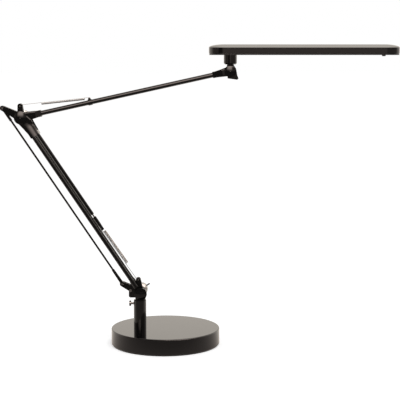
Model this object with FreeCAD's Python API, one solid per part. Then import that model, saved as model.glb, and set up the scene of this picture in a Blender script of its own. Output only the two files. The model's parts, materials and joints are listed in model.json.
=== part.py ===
import FreeCAD, Part
import math
import os

# LED desk lamp with a round weighted base, a swivelling post head, a balanced two-part arm kept level by a
# parallel link, and a long flat light head.
# Sizes are in millimetres and angles in degrees. +X is right, +Y is back, +Z is up.
# The origin is the middle of the base's underside.

Vector = FreeCAD.Vector

# Fits
running_clearance = 0.05
open_pivot_clearance = 0.10
moving_gap = 0.3
seat_clearance = 0.1

# Base
base_radius = 95.0
base_height = 29.0
base_rim_round = 1.6
base_foot_chamfer = 0.8
shell_wall = 3.0
pad_thickness = 1.5
pad_inset = 1.8
ballast_thickness = 14.0
ballast_clearance = 0.5
base_boss_radius = 5.0
base_boss_circle = 72.0
base_boss_count = 3
base_boss_first_angle = 30.0
base_screw_radius = 2.0
base_screw_head_radius = 4.2
base_screw_head_height = 3.0
inlet_radius = 4.5
inlet_room = 0.5
inlet_length = 12.0
inlet_recess = 0.5
inlet_socket_radius = 2.8
inlet_socket_depth = 8.0
inlet_pin_radius = 1.0

# Post
post_offset = -44.7
post_radius = 11.0
post_height = 49.9
post_chamfer = 1.2
post_bore_depth = 27.0
stud_radius = 6.0
wire_hole_radius = 3.5
post_nut_flats = 19.0
nut_sides = 6
post_nut_height = 5.0
post_nut_recess = 3.0
post_nut_room = 2.0
post_boss_wall = 6.0

# Wing screw in the post
wing_screw_drop = 7.1
wing_screw_radius = 2.0
wing_neck_length = 4.4
wing_hub_radius = 2.7
wing_lobe_radius = 1.75
wing_root_radius = 1.4
wing_lobe_reach = 3.3
wing_thickness = 2.6
swivel_groove_depth = 2.0
swivel_groove_width = 5.2

# Layers of the pivots, from the middle plane outwards
link_eye_thickness = 4.4
plate_thickness = 2.0
inner_cheek_thickness = 3.0
outer_cheek_thickness = 3.0

# Pivots
pivot_lead = 1.4
pivot_bolt_radius = 3.0
bolt_head_radius = 6.0
bolt_head_height = 2.0
cap_radius = 11.2
head_cap_radius = 10.4
cap_edge = 0.9
cap_dome = 2.4
eye_radius = 7.4
outer_eye_radius = 10.0
crotch_gap = 0.4

# Clamp knobs
knob_boss_radius = 7.0
knob_boss_length = 10.5
knob_grip_radius = 10.8
knob_grip_length = 20.0
knob_flare = 2.5
knob_edge = 1.2
knob_flute_count = 16
knob_flute_radius = 1.3
knob_flute_out = 0.6
tommy_bar_radius = 1.25
tommy_bar_angle = 33.0
tommy_bar_short_side = 13.0
tommy_bar_long_side = 17.0
tommy_bar_setback = 6.0
head_knob_radius = 9.0
head_knob_length = 9.0

# Swivel knuckle in the post
knuckle_neck_half_width = 8.7
knuckle_corner_radius = 13.0
spigot_length = 24.0
heel_reach = 20.7
heel_low = 7.7
heel_high = 9.5
heel_nose = 2.0
heel_screw_back = 17.8
heel_screw_rise = 5.0
heel_screw_radius = 1.5
heel_screw_head_radius = 2.6
heel_screw_head_height = 1.8

# Plates with the link lug and the spring ear
lug_length = 36.0
lug_angle = 153.0
lug_radius = 4.3
link_pin_radius = 2.0
ear_radius = 4.3
ear_root_radius = 6.0
spring_pin_radius = 1.3
lower_ear_back = 4.0
lower_ear_rise = 23.4
elbow_ear_back = 1.4
elbow_ear_rise = 20.0
pin_edge = 0.25

# Arms, both the same length between pivots
arm_length = 369.0
lower_arm_angle = 123.6
upper_arm_angle = 12.46

# Lower arm
twin_tube_radius = 3.5
tube_wall = 0.8
ferrule_wall = 0.7
ferrule_start = 14.0
ferrule_length = 14.0
socket_floor = 4.0
elbow_fork_slot = 33.0
elbow_fork_length = 40.0
elbow_fork_flare = 13.6
elbow_fork_flare_at = 12.0
elbow_fork_right = 11.2
elbow_fork_left = 4.9
elbow_fork_taper_at = 31.0
elbow_fork_edge_round = 1.6
socket_wall = 1.2

# Spring line beside the lower arm
sleeve_radius = 3.0
sleeve_bore_radius = 1.5
sleeve_side = 7.7
sleeve_end_at = 161.5
anchor_start = 129.0
anchor_end = 156.5
anchor_pin_at = 133.0
anchor_slot_end = 138.0
anchor_slot_width = 3.6
anchor_pin_radius = 1.0
rod_grip = 10.0
rod_in_sleeve = 30.0

# Lower spring
lower_spring_radius = 2.55
lower_wire_radius = 0.45
lower_hook_length = 36.0
lower_top_hook_length = 7.0
lower_spring_turns = 20
hook_clearance = 0.15
hook_bend_radius = 1.0
wire_sides = 5

# Link rod
link_rod_radius = 1.75
link_eye_radius = 4.2
link_foot_radius = 3.0
link_foot_length = 30.0
link_tip_radius = 2.5
link_tip_length = 26.0
link_socket_depth = 16.0

# Upper arm
upper_tube_radius = 4.2
upper_fork_slot = 26.0
upper_fork_length = 36.0
upper_fork_half_height = 5.8
upper_fork_end_half_width = 5.6
head_fork_length = 31.0
head_fork_half_height = 5.4
head_fork_cheek = 3.5
head_fork_eye_radius = 8.3
fork_web = 3.5
fork_edge_round = 2.6
spring_clip_at = 122.0
spring_clip_length = 7.0
spring_clip_wall = 1.0
spring_clip_ear_thickness = 1.0
spring_clip_ear_radius = 1.9

# Upper spring
upper_spring_radius = 1.75
upper_wire_radius = 0.35
upper_hook_length = 37.0
upper_top_hook_length = 8.0
upper_spring_turns = 24
clip_pin_radius = 1.0

# Head pivot and swivel
tongue_radius = 9.0
head_neck_radius = 6.0
head_flange_height = 1.0
collar_rise = 11.5
collar_height = 16.0
collar_radius = 11.25
collar_round = 2.0
collar_tenon_radius = 9.0
swivel_pin_radius = 5.0
tail_reach = 14.1
tail_drop = 14.7
tail_blunt = 2.2
tail_shoulder_drop = 6.8
tail_root_rise = 3.9
tail_root_reach = 10.0
tail_heel = 4.5
tail_heel_drop = 12.4
retainer_radius = 8.0
retainer_thickness = 1.2
retainer_screw_radius = 1.5
retainer_screw_head_radius = 3.0
retainer_screw_head_height = 2.0
retainer_screw_length = 11.0

# Light head
head_length = 326.0
head_width = 62.0
head_back_overhang = 36.9
head_corner_radius = 25.0
bezel_thickness = 3.3
bezel_inset = 0.6
bezel_lip_height = 1.7
bezel_lip_wall = 2.0
housing_side = 9.3
housing_wall = 2.2
crown_height = 5.4
crown_end_run = 22.0
crown_side_run = 25.0
crown_steps = 5
crown_top_corner = 4.8
window_start = 40.0
window_to_switch = 15.4
window_width = 38.0
window_ledge = 2.0
diffuser_thickness = 2.0
board_thickness = 1.6
board_drop = 3.0
board_margin = 1.5
led_size = 3.0
led_height = 0.8
led_columns = 16
led_rows = 2
led_row_gap = 18.0
driver_length = 19.0
driver_width = 40.0
driver_gap = 3.0
driver_part_height = 1.4
choke_size = 10.0
choke_inset = 4.0
capacitor_radius = 3.0
capacitor_inset = 6.0
capacitor_pitch = 8.0
board_pad_radius = 3.0
board_pad_inset = 20.0
head_screw_inset_x = 15.0
head_screw_inset_y = 13.0
head_screw_radius = 1.2
head_screw_head_radius = 2.6
head_screw_head_height = 1.6
head_boss_radius = 3.5
button_from_end = 26.0
button_radius = 3.3
button_stand = 2.0
button_edge = 0.6
button_flange_radius = 4.6
button_flange_thickness = 1.0
button_travel = 1.0
button_stem_radius = 2.0
button_stem_grip = 1.0
switch_size = 12.0

# Layer positions worked out from the stack
plate_inner = link_eye_thickness / 2 + moving_gap
plate_outer = plate_inner + plate_thickness
inner_cheek_in = plate_outer + moving_gap
inner_cheek_out = inner_cheek_in + inner_cheek_thickness
outer_cheek_in = inner_cheek_out + moving_gap
outer_cheek_out = outer_cheek_in + outer_cheek_thickness
head_cheek_out = inner_cheek_in + head_fork_cheek
ferrule_radius = twin_tube_radius + ferrule_wall
twin_tube_offset = inner_cheek_in + moving_gap + ferrule_radius

# Heights and pivot points worked out from the sizes above
ballast_top = pad_thickness + ballast_thickness
shell_roof = base_height - shell_wall
post_top = base_height + post_height
wing_screw_height = post_top - wing_screw_drop
lower_pivot = Vector(post_offset + pivot_lead, 0, post_top + cap_radius + moving_gap)
knuckle_floor = lower_pivot.z - eye_radius - crotch_gap
spigot_radius = post_radius - shell_wall - running_clearance
spring_clip_rise = spring_pin_radius + hook_clearance + 2 * upper_wire_radius + moving_gap


def arm_frame(origin, angle):
    """Placement with its X along an arm that rises by angle from +X, and its Z to the left of the arm."""
    return FreeCAD.Placement(origin, FreeCAD.Rotation(Vector(0, -1, 0), angle))


def along(origin, angle, distance, left=0.0):
    """Point in the middle plane, a distance along an arm and a distance to its left."""
    return arm_frame(origin, angle).multVec(Vector(distance, 0, left))


elbow = along(lower_pivot, lower_arm_angle, arm_length)
head_pivot = along(elbow, upper_arm_angle, arm_length)
lower_link_pin = along(lower_pivot, lug_angle, lug_length)
elbow_link_pin = along(elbow, lug_angle, lug_length)
lower_ear_pin = lower_pivot + Vector(-lower_ear_back, 0, lower_ear_rise)
elbow_ear_pin = elbow + Vector(-elbow_ear_back, 0, elbow_ear_rise)
anchor_pin = along(lower_pivot, lower_arm_angle, anchor_pin_at, -sleeve_side)
clip_pin = along(elbow, upper_arm_angle, spring_clip_at, upper_tube_radius + spring_clip_rise)

collar_bottom = head_pivot.z + collar_rise
head_bottom = collar_bottom + collar_height
bezel_top = head_bottom + bezel_thickness
housing_top = bezel_top + housing_side
housing_roof = housing_top - housing_wall
head_start = head_pivot.x - head_back_overhang
head_middle = head_start + head_length / 2
button_x = head_start + head_length - button_from_end
window_x = head_pivot.x + window_start
window_length = button_x - switch_size / 2 - window_to_switch - window_x
board_top = housing_roof - board_drop
board_bottom = board_top - board_thickness


def outline(start, *moves):
    """Closed wire in the XZ plane. A move is an end point for a line, or (middle, end) for an arc."""
    first = Vector(start[0], 0, start[1])
    here = first
    edges = []
    for move in moves:
        if isinstance(move[0], tuple):
            middle = Vector(move[0][0], 0, move[0][1])
            end = Vector(move[1][0], 0, move[1][1])
            edges.append(Part.Arc(here, middle, end).toShape())
        else:
            end = Vector(move[0], 0, move[1])
            edges.append(Part.LineSegment(here, end).toShape())
        here = end
    edges.append(Part.LineSegment(here, first).toShape())
    return Part.Wire(edges)


def prism(wire, low, high):
    """Solid of an XZ outline between two Y planes."""
    face = Part.Face(wire)
    face.translate(Vector(0, low, 0))
    return face.extrude(Vector(0, high - low, 0))


def rims_rounded(solid, edge_round):
    """Solid with the edges that run along X on its front and rear rounded."""
    rims = [edge for edge in solid.Edges if edge.BoundBox.XLength > edge_round]
    return solid.makeFillet(edge_round, rims)


def soft_prism(wire, low, high, edge_round):
    """Prism with the edges of both its faces rounded."""
    solid = prism(wire, low, high)
    rims = [edge for edge in solid.Edges if edge.BoundBox.YLength < edge_round]
    return solid.makeFillet(edge_round, rims)


def turned(wire, point, direction):
    """Solid of revolution. The outline's X is the radius, and its Z runs along direction from point."""
    solid = Part.Face(wire).revolve(Vector(0, 0, 0), Vector(0, 0, 1), 360)
    solid.Placement = FreeCAD.Placement(point, FreeCAD.Rotation(Vector(0, 0, 1), direction))
    return solid


def rod_y(point, radius, low, high):
    """Cylinder across the lamp, round a point of the middle plane."""
    return Part.makeCylinder(radius, high - low, Vector(point.x, low, point.z), Vector(0, 1, 0))


def rod_x(radius, start, end, y=0.0, z=0.0):
    """Cylinder along an arm's own X."""
    return Part.makeCylinder(radius, end - start, Vector(start, y, z), Vector(1, 0, 0))


def rod_z(x, y, radius, low, high):
    """Upright cylinder."""
    return Part.makeCylinder(radius, high - low, Vector(x, y, low))


def block(low, high):
    """Box between two corners."""
    size = Vector(*high) - Vector(*low)
    return Part.makeBox(size.x, size.y, size.z, Vector(*low))


def bar(first, first_radius, second, second_radius, low, high):
    """Flat bar with round ends of two radii, drawn tangent to both."""
    run = second - first
    heading = math.atan2(run.z, run.x)
    lean = math.acos((first_radius - second_radius) / run.Length)

    def rim(centre, radius, turn):
        return (centre.x + radius * math.cos(turn), centre.z + radius * math.sin(turn))

    wire = outline(
        rim(first, first_radius, heading + lean),
        (rim(first, first_radius, heading + math.pi), rim(first, first_radius, heading - lean)),
        rim(second, second_radius, heading - lean),
        (rim(second, second_radius, heading), rim(second, second_radius, heading + lean)),
    )
    return prism(wire, low, high)


def joined(first, *others):
    """One solid from several that meet."""
    return first.fuse(list(others)).removeSplitter()


def placed(shape, origin, angle):
    """A shape drawn in an arm's own frame, set on the lamp."""
    shape.Placement = arm_frame(origin, angle).multiply(shape.Placement)
    return shape


def rounded_plate(half_x, half_y, corner, height):
    """Wire of a rounded rectangle round the origin, at a height."""
    side = half_x - corner
    end = half_y - corner
    slant = corner * math.sqrt(0.5)

    def at(x, y):
        return Vector(x, y, height)

    edges = []
    corners = ((1, 1), (-1, 1), (-1, -1), (1, -1))
    for index, (sx, sy) in enumerate(corners):
        on_end = at(sx * half_x, sy * end)
        on_side = at(sx * side, sy * half_y)
        middle = at(sx * (side + slant), sy * (end + slant))
        enter, leave = (on_end, on_side) if sx == sy else (on_side, on_end)
        edges.append(Part.Arc(enter, middle, leave).toShape())
        next_x, next_y = corners[(index + 1) % len(corners)]
        if next_x == next_y:
            target = at(next_x * half_x, next_y * end)
        else:
            target = at(next_x * side, next_y * half_y)
        edges.append(Part.LineSegment(leave, target).toShape())
    return Part.Wire(edges)


def rounded_slab(half_x, half_y, corner, low, high, centre_x):
    """Flat slab with a rounded rectangular plan."""
    slab = Part.Face(rounded_plate(half_x, half_y, corner, low)).extrude(Vector(0, 0, high - low))
    slab.translate(Vector(centre_x, 0, 0))
    return slab


def base_boss_spots():
    """Places of the screws that hold the ballast in the base shell."""
    spots = []
    for index in range(base_boss_count):
        turn = math.radians(base_boss_first_angle + index * 360 / base_boss_count)
        spots.append((base_boss_circle * math.cos(turn), base_boss_circle * math.sin(turn)))
    return spots


def make_base_shell():
    inner = base_radius - shell_wall
    profile = outline(
        (0, shell_roof),
        (inner, shell_roof),
        (inner, pad_thickness),
        (base_radius - base_foot_chamfer, pad_thickness),
        (base_radius, pad_thickness + base_foot_chamfer),
        (base_radius, base_height - base_rim_round),
        (
            (
                base_radius - base_rim_round * (1 - math.sqrt(0.5)),
                base_height - base_rim_round * (1 - math.sqrt(0.5)),
            ),
            (base_radius - base_rim_round, base_height),
        ),
        (0, base_height),
    )
    shell = turned(profile, Vector(0, 0, 0), Vector(0, 0, 1))
    boss_top = base_height - shell_wall / 2
    bosses = [rod_z(post_offset, 0, stud_radius + post_boss_wall, ballast_top, boss_top)]
    holes = [rod_z(post_offset, 0, stud_radius + seat_clearance, pad_thickness, base_height)]
    for x, y in base_boss_spots():
        bosses.append(rod_z(x, y, base_boss_radius, ballast_top, boss_top))
        holes.append(rod_z(x, y, base_screw_radius + running_clearance, ballast_top, shell_roof))
    shell = joined(shell, *bosses)
    inlet_hole = Part.makeCylinder(
        inlet_radius + running_clearance,
        inlet_length,
        Vector(0, base_radius - inlet_length, inlet_height()),
        Vector(0, 1, 0),
    )
    return shell.cut([inlet_hole] + holes)


def inlet_height():
    """Middle of the room above the ballast."""
    return (ballast_top + shell_roof) / 2


def make_base_ballast():
    """Iron disc, with pockets for the nut, the screw heads and an inlet that stands low."""
    ballast = rod_z(0, 0, base_radius - shell_wall - ballast_clearance, pad_thickness, ballast_top)
    nut_top = pad_thickness + post_nut_recess + post_nut_height
    cuts = [
        rod_z(post_offset, 0, stud_radius + seat_clearance, pad_thickness, ballast_top),
        rod_z(post_offset, 0, post_nut_flats / math.sqrt(3) + post_nut_room, pad_thickness, nut_top),
        Part.makeCylinder(
            inlet_radius + inlet_room,
            inlet_length + inlet_room,
            Vector(0, base_radius - inlet_length - inlet_room, inlet_height()),
            Vector(0, 1, 0),
        ),
    ]
    head_top = pad_thickness + base_screw_head_height + seat_clearance
    for x, y in base_boss_spots():
        cuts.append(rod_z(x, y, base_screw_radius + running_clearance, pad_thickness, ballast_top))
        cuts.append(rod_z(x, y, base_screw_head_radius + seat_clearance, pad_thickness, head_top))
    return ballast.cut(cuts)


def make_base_pad():
    return rod_z(0, 0, base_radius - pad_inset, 0, pad_thickness)


def make_base_screws():
    head_low = pad_thickness + seat_clearance
    screws = []
    for x, y in base_boss_spots():
        head = rod_z(x, y, base_screw_head_radius, head_low, head_low + base_screw_head_height)
        shank = rod_z(x, y, base_screw_radius, head_low, shell_roof - shell_wall / 2)
        screws.append(joined(head, shank))
    return Part.makeCompound(screws)


def make_power_inlet():
    back = base_radius - inlet_recess
    start = Vector(0, back - inlet_length + inlet_recess, inlet_height())
    body = Part.makeCylinder(inlet_radius, back - start.y, start, Vector(0, 1, 0))
    floor = Vector(0, back - inlet_socket_depth, inlet_height())
    socket = Part.makeCylinder(inlet_socket_radius, inlet_socket_depth, floor, Vector(0, 1, 0))
    pin = Part.makeCylinder(inlet_pin_radius, inlet_socket_depth - inlet_recess, floor, Vector(0, 1, 0))
    return joined(body.cut(socket), pin)


def make_post():
    foot = pad_thickness + post_nut_recess
    bore = post_radius - shell_wall
    floor = post_top - post_bore_depth
    profile = outline(
        (wire_hole_radius, foot),
        (stud_radius, foot),
        (stud_radius, base_height),
        (post_radius, base_height),
        (post_radius, post_top - post_chamfer),
        (post_radius - post_chamfer, post_top),
        (bore, post_top),
        (bore, floor),
        (wire_hole_radius, floor),
    )
    post = turned(profile, Vector(post_offset, 0, 0), Vector(0, 0, 1))
    screw_hole = Part.makeCylinder(
        wing_screw_radius + running_clearance,
        post_radius,
        Vector(post_offset, 0, wing_screw_height),
        Vector(-1, 0, 0),
    )
    return post.cut(screw_hole)


def make_post_nut():
    low = pad_thickness + post_nut_recess
    corner = post_nut_flats / math.sqrt(3)
    points = []
    for index in range(nut_sides + 1):
        turn = math.radians(index * 360 / nut_sides)
        points.append(Vector(post_offset + corner * math.cos(turn), corner * math.sin(turn), low))
    nut = Part.Face(Part.makePolygon(points)).extrude(Vector(0, 0, post_nut_height))
    return nut.cut(rod_z(post_offset, 0, stud_radius + running_clearance, low, low + post_nut_height))


def make_wing_screw():
    hub_start = post_radius + wing_neck_length
    hub_end = hub_start + 2 * wing_lobe_radius
    tip = spigot_radius - swivel_groove_depth + moving_gap
    shank = rod_x(wing_screw_radius, tip, hub_end)
    hub = rod_x(wing_hub_radius, hub_start, hub_end)
    middle = Vector(hub_start + wing_lobe_radius, 0, 0)
    half = wing_thickness / 2
    wings = []
    for side in (-1, 1):
        lobe = middle + Vector(0, 0, side * wing_lobe_reach)
        wings.append(bar(middle, wing_root_radius, lobe, wing_lobe_radius, -half, half))
    screw = joined(shank, hub, *wings)
    screw.Placement = FreeCAD.Placement(
        Vector(post_offset, 0, wing_screw_height), FreeCAD.Rotation(Vector(0, 0, 1), 180)
    )
    return screw


def make_swivel_knuckle():
    x = lower_pivot.x
    z = lower_pivot.z
    neck = block(
        (x - knuckle_neck_half_width, -outer_cheek_out, post_top),
        (x + knuckle_neck_half_width, outer_cheek_out, z),
    )
    neck = neck.common(rod_z(post_offset, 0, knuckle_corner_radius, post_top, z))
    body = joined(neck, rod_y(lower_pivot, outer_eye_radius, -outer_cheek_out, outer_cheek_out))
    reach = outer_eye_radius + crotch_gap
    for low, high in ((-outer_cheek_in, -plate_inner), (plate_inner, outer_cheek_in)):
        body = body.cut(block((x - reach, low, knuckle_floor), (x + reach, high, z + reach)))
    heel = prism(heel_outline(x, z), -plate_inner, plate_inner)
    spigot = rod_z(post_offset, 0, spigot_radius, post_top - spigot_length, post_top)
    body = joined(body, heel, spigot)
    groove_low = wing_screw_height - swivel_groove_width / 2
    groove_high = wing_screw_height + swivel_groove_width / 2
    groove = rod_z(post_offset, 0, post_radius, groove_low, groove_high)
    groove = groove.cut(rod_z(post_offset, 0, spigot_radius - swivel_groove_depth, groove_low, groove_high))
    pivot_hole = rod_y(lower_pivot, pivot_bolt_radius + running_clearance, -outer_cheek_out, outer_cheek_out)
    return body.cut([groove, pivot_hole, heel_screw_hole()])


def heel_outline(x, z):
    """Blunt heel left of the lower pivot, shared by the knuckle's web and the plates on it."""
    return outline(
        (x, z - heel_low),
        (x, z + heel_high),
        (x - heel_reach + heel_nose, z + heel_high),
        (x - heel_reach, z + heel_high - heel_nose),
        (x - heel_reach, z - heel_low + heel_nose),
        (x - heel_reach + heel_nose, z - heel_low),
    )


def heel_screw_point():
    return lower_pivot + Vector(-heel_screw_back, 0, heel_screw_rise)


def heel_screw_hole():
    return rod_y(heel_screw_point(), heel_screw_radius + running_clearance, -plate_outer, plate_outer)


def make_lug_plate(pivot, ear, low, high):
    """Plate on a pivot, with a long lug for the link and a short ear for the spring."""
    link_pin = pivot + (lower_link_pin - lower_pivot)
    lug = bar(pivot, eye_radius, link_pin, lug_radius, low, high)
    ear_bar = bar(pivot, ear_root_radius, ear, ear_radius, low, high)
    plate = joined(lug, ear_bar)
    holes = [
        rod_y(pivot, pivot_bolt_radius + running_clearance, low, high),
        rod_y(link_pin, link_pin_radius + running_clearance, low, high),
        rod_y(ear, spring_pin_radius + running_clearance, low, high),
    ]
    return plate.cut(holes)


def make_swivel_plate(low, high):
    plate = make_lug_plate(lower_pivot, lower_ear_pin, low, high)
    heel = prism(heel_outline(lower_pivot.x, lower_pivot.z), low, high)
    heel = heel.cut(rod_y(lower_pivot, pivot_bolt_radius + running_clearance, low, high))
    return joined(plate, heel).cut(heel_screw_hole())


def make_cross_pin(point, radius, half_length):
    """Short pin across the lamp with softly turned ends."""
    profile = outline(
        (0, -half_length),
        (radius - pin_edge, -half_length),
        (radius, -half_length + pin_edge),
        (radius, half_length - pin_edge),
        (radius - pin_edge, half_length),
        (0, half_length),
    )
    return turned(profile, point, Vector(0, 1, 0))


def make_heel_screw():
    point = heel_screw_point()
    shank = rod_y(point, heel_screw_radius, -plate_outer, plate_outer)
    head_face = -plate_outer - heel_screw_head_height
    head = rod_y(point, heel_screw_head_radius, head_face, -plate_outer)
    return joined(shank, head)


def make_pivot_bolt(pivot, face, tail):
    """Bolt through a pivot: its head lies on the front face, under the cap."""
    head = rod_y(pivot, bolt_head_radius, -face - bolt_head_height, -face)
    return joined(head, rod_y(pivot, pivot_bolt_radius, -face, tail))


def make_pivot_cap(pivot, face, radius):
    """Domed cap over a bolt head, seated on the front face of a pivot."""
    room = bolt_head_height + seat_clearance
    inner = bolt_head_radius + seat_clearance
    rise = cap_edge + cap_dome
    dome_radius = (radius * radius + cap_dome * cap_dome) / (2 * cap_dome)
    shoulder = radius / 2
    shoulder_rise = rise - dome_radius + math.sqrt(dome_radius * dome_radius - shoulder * shoulder)
    profile = outline(
        (inner, 0),
        (radius, 0),
        (radius, cap_edge),
        ((shoulder, shoulder_rise), (0, rise)),
        (0, room),
        (inner, room),
    )
    return turned(profile, pivot + Vector(0, -face, 0), Vector(0, -1, 0))


def knob_end():
    """How far a clamp knob stands out from the pivot's back face."""
    return moving_gap + knob_boss_length + knob_flare + knob_grip_length


def flutes(pivot, grip_radius, low, high):
    """Round grooves along the grip of a knob."""
    cuts = []
    reach = grip_radius + knob_flute_out
    for index in range(knob_flute_count):
        turn = math.radians(index * 360 / knob_flute_count)
        spot = pivot + Vector(reach * math.cos(turn), 0, reach * math.sin(turn))
        cuts.append(rod_y(spot, knob_flute_radius, low, high))
    return cuts


def make_clamp_knob(pivot, face):
    """Fluted clamp knob on the back of a pivot."""
    start = moving_gap
    flare_start = start + knob_boss_length
    grip_start = flare_start + knob_flare
    grip_end = knob_end()
    bore = pivot_bolt_radius + running_clearance
    profile = outline(
        (bore, start),
        (knob_boss_radius, start),
        (knob_boss_radius, flare_start),
        (knob_grip_radius - knob_edge, grip_start),
        (knob_grip_radius, grip_start + knob_edge),
        (knob_grip_radius, grip_end - knob_edge),
        (knob_grip_radius - knob_edge, grip_end),
        (0, grip_end),
        (0, bolt_reach() + moving_gap),
        (bore, bolt_reach() + moving_gap),
    )
    knob = turned(profile, pivot + Vector(0, face, 0), Vector(0, 1, 0))
    return knob.cut(flutes(pivot, knob_grip_radius, face + flare_start, face + grip_end))


def bolt_reach():
    """How far a clamp bolt runs into its knob, past the pivot's back face."""
    return moving_gap + knob_boss_length


def tommy_bar_y():
    return outer_cheek_out + knob_end() - tommy_bar_setback


def tommy_cylinder(radius):
    """Cylinder along the tommy bar of the lower clamp knob."""
    cylinder = rod_x(radius, -tommy_bar_short_side, tommy_bar_long_side)
    return placed(cylinder, Vector(lower_pivot.x, tommy_bar_y(), lower_pivot.z), tommy_bar_angle)


def make_lower_clamp_knob():
    knob = make_clamp_knob(lower_pivot, outer_cheek_out)
    return knob.cut(tommy_cylinder(tommy_bar_radius + running_clearance))


def make_head_clamp_knob():
    start = moving_gap
    end = start + head_knob_length
    bore = pivot_bolt_radius + running_clearance
    profile = outline(
        (bore, start),
        (head_knob_radius - knob_edge, start),
        (head_knob_radius, start + knob_edge),
        (head_knob_radius, end - knob_edge),
        (head_knob_radius - knob_edge, end),
        (0, end),
        (0, end - bolt_head_height),
        (bore, end - bolt_head_height),
    )
    knob = turned(profile, head_pivot + Vector(0, head_cheek_out, 0), Vector(0, 1, 0))
    return knob.cut(flutes(head_pivot, head_knob_radius, head_cheek_out, head_cheek_out + end))


def make_lower_arm_eye(side):
    """Flat eye on the lower pivot, with the ferrule that holds one of the twin tubes."""
    low, high = sorted((side * inner_cheek_in, side * inner_cheek_out))
    ferrule_end = ferrule_start + ferrule_length
    middle = ferrule_start + ferrule_length / 2
    tongue = bar(Vector(0, 0, 0), eye_radius, Vector(middle, 0, 0), ferrule_radius, low, high)
    ferrule = rod_x(ferrule_radius, ferrule_start, ferrule_end, side * twin_tube_offset)
    socket_radius = twin_tube_radius + running_clearance
    socket = rod_x(socket_radius, ferrule_start + socket_floor, ferrule_end, side * twin_tube_offset)
    hole = rod_y(Vector(0, 0, 0), pivot_bolt_radius + running_clearance, low, high)
    return placed(joined(tongue, ferrule).cut([socket, hole]), lower_pivot, lower_arm_angle)


def make_lower_arm_tube(side):
    start = ferrule_start + socket_floor
    end = arm_length - elbow_fork_slot - socket_wall
    outer = rod_x(twin_tube_radius, start, end, side * twin_tube_offset)
    inner = rod_x(twin_tube_radius - tube_wall, start, end, side * twin_tube_offset)
    return placed(outer.cut(inner), lower_pivot, lower_arm_angle)


def make_elbow_fork():
    """Fork at the top of the lower arm, drawn from the elbow towards the lower pivot."""
    side = outline(
        (0, -outer_eye_radius),
        ((-outer_eye_radius, 0), (0, outer_eye_radius)),
        (elbow_fork_flare_at, elbow_fork_flare),
        (elbow_fork_length, elbow_fork_right),
        (elbow_fork_length, -elbow_fork_left),
        (elbow_fork_taper_at, -elbow_fork_left),
    )
    half = twin_tube_offset + twin_tube_radius + socket_wall
    origin = Vector(0, 0, 0)
    body = prism(side, -half, half)
    low_z = -2 * elbow_fork_flare
    plan = Part.makePolygon(
        [
            Vector(-2 * outer_eye_radius, -outer_cheek_out, low_z),
            Vector(elbow_fork_flare_at, -outer_cheek_out, low_z),
            Vector(elbow_fork_length, -half, low_z),
            Vector(elbow_fork_length, half, low_z),
            Vector(elbow_fork_flare_at, outer_cheek_out, low_z),
            Vector(-2 * outer_eye_radius, outer_cheek_out, low_z),
            Vector(-2 * outer_eye_radius, -outer_cheek_out, low_z),
        ]
    )
    body = body.common(Part.Face(plan).extrude(Vector(0, 0, 4 * elbow_fork_flare)))
    body = rims_rounded(body, elbow_fork_edge_round)
    slot = block((-2 * outer_eye_radius, -outer_cheek_in, low_z), (elbow_fork_slot, outer_cheek_in, -low_z))
    socket_start = elbow_fork_slot + socket_wall
    cuts = [
        slot,
        rod_y(origin, pivot_bolt_radius + running_clearance, -half, half),
        rod_x(sleeve_radius + running_clearance, socket_start, elbow_fork_length, 0, sleeve_side),
    ]
    for y in (-twin_tube_offset, twin_tube_offset):
        cuts.append(rod_x(twin_tube_radius + running_clearance, socket_start, elbow_fork_length, y))
    return placed(body.cut(cuts), elbow, lower_arm_angle + 180)


def make_spring_sleeve():
    start = sleeve_end_at
    end = arm_length - elbow_fork_slot - socket_wall
    outer = rod_x(sleeve_radius, start, end, 0, -sleeve_side)
    inner = rod_x(sleeve_bore_radius + running_clearance, start, end, 0, -sleeve_side)
    return placed(outer.cut(inner), lower_pivot, lower_arm_angle)


def make_spring_rod():
    start = anchor_end - rod_grip
    rod = rod_x(sleeve_bore_radius, start, sleeve_end_at + rod_in_sleeve, 0, -sleeve_side)
    return placed(rod, lower_pivot, lower_arm_angle)


def make_spring_anchor():
    """Round block with a forked nose for the top hook of the lower spring."""
    body = rod_x(sleeve_radius, anchor_start, anchor_end, 0, -sleeve_side)
    half = anchor_slot_width / 2
    reach = 2 * sleeve_radius
    slot = block((anchor_start, -half, -sleeve_side - reach), (anchor_slot_end, half, -sleeve_side + reach))
    rod_radius = sleeve_bore_radius + running_clearance
    rod_hole = rod_x(rod_radius, anchor_end - rod_grip, anchor_end, 0, -sleeve_side)
    pin_at = Vector(anchor_pin_at, 0, -sleeve_side)
    pin_hole = rod_y(pin_at, anchor_pin_radius + running_clearance, -reach, reach)
    return placed(body.cut([slot, rod_hole, pin_hole]), lower_pivot, lower_arm_angle)


def make_anchor_pin():
    half = math.sqrt(sleeve_radius * sleeve_radius - anchor_pin_radius * anchor_pin_radius)
    return make_cross_pin(anchor_pin, anchor_pin_radius, half - seat_clearance)


def arc_from(start, heading, end):
    """Arc that leaves start along heading and passes through end."""
    chord = end - start
    across = chord - heading * chord.dot(heading)
    across.normalize()
    slant = heading.getAngle(chord)
    radius = chord.Length / (2 * math.sin(slant))
    middle = start + heading * (radius * math.sin(slant)) + across * (radius * (1 - math.cos(slant)))
    return Part.Arc(start, middle, end).toShape()


def biarc(start, start_heading, end, end_heading):
    """Two tangent arcs between two points with given headings."""
    run = end - start
    both = start_heading + end_heading
    spread = 2 * (1 - start_heading.dot(end_heading))
    lean = run.dot(both)
    reach = (-lean + math.sqrt(lean * lean + spread * run.dot(run))) / spread
    meeting = (start + start_heading * reach + end - end_heading * reach) * 0.5
    first = arc_from(start, start_heading, meeting)
    second = arc_from(end, end_heading * -1, meeting)
    return [first, second]


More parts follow.
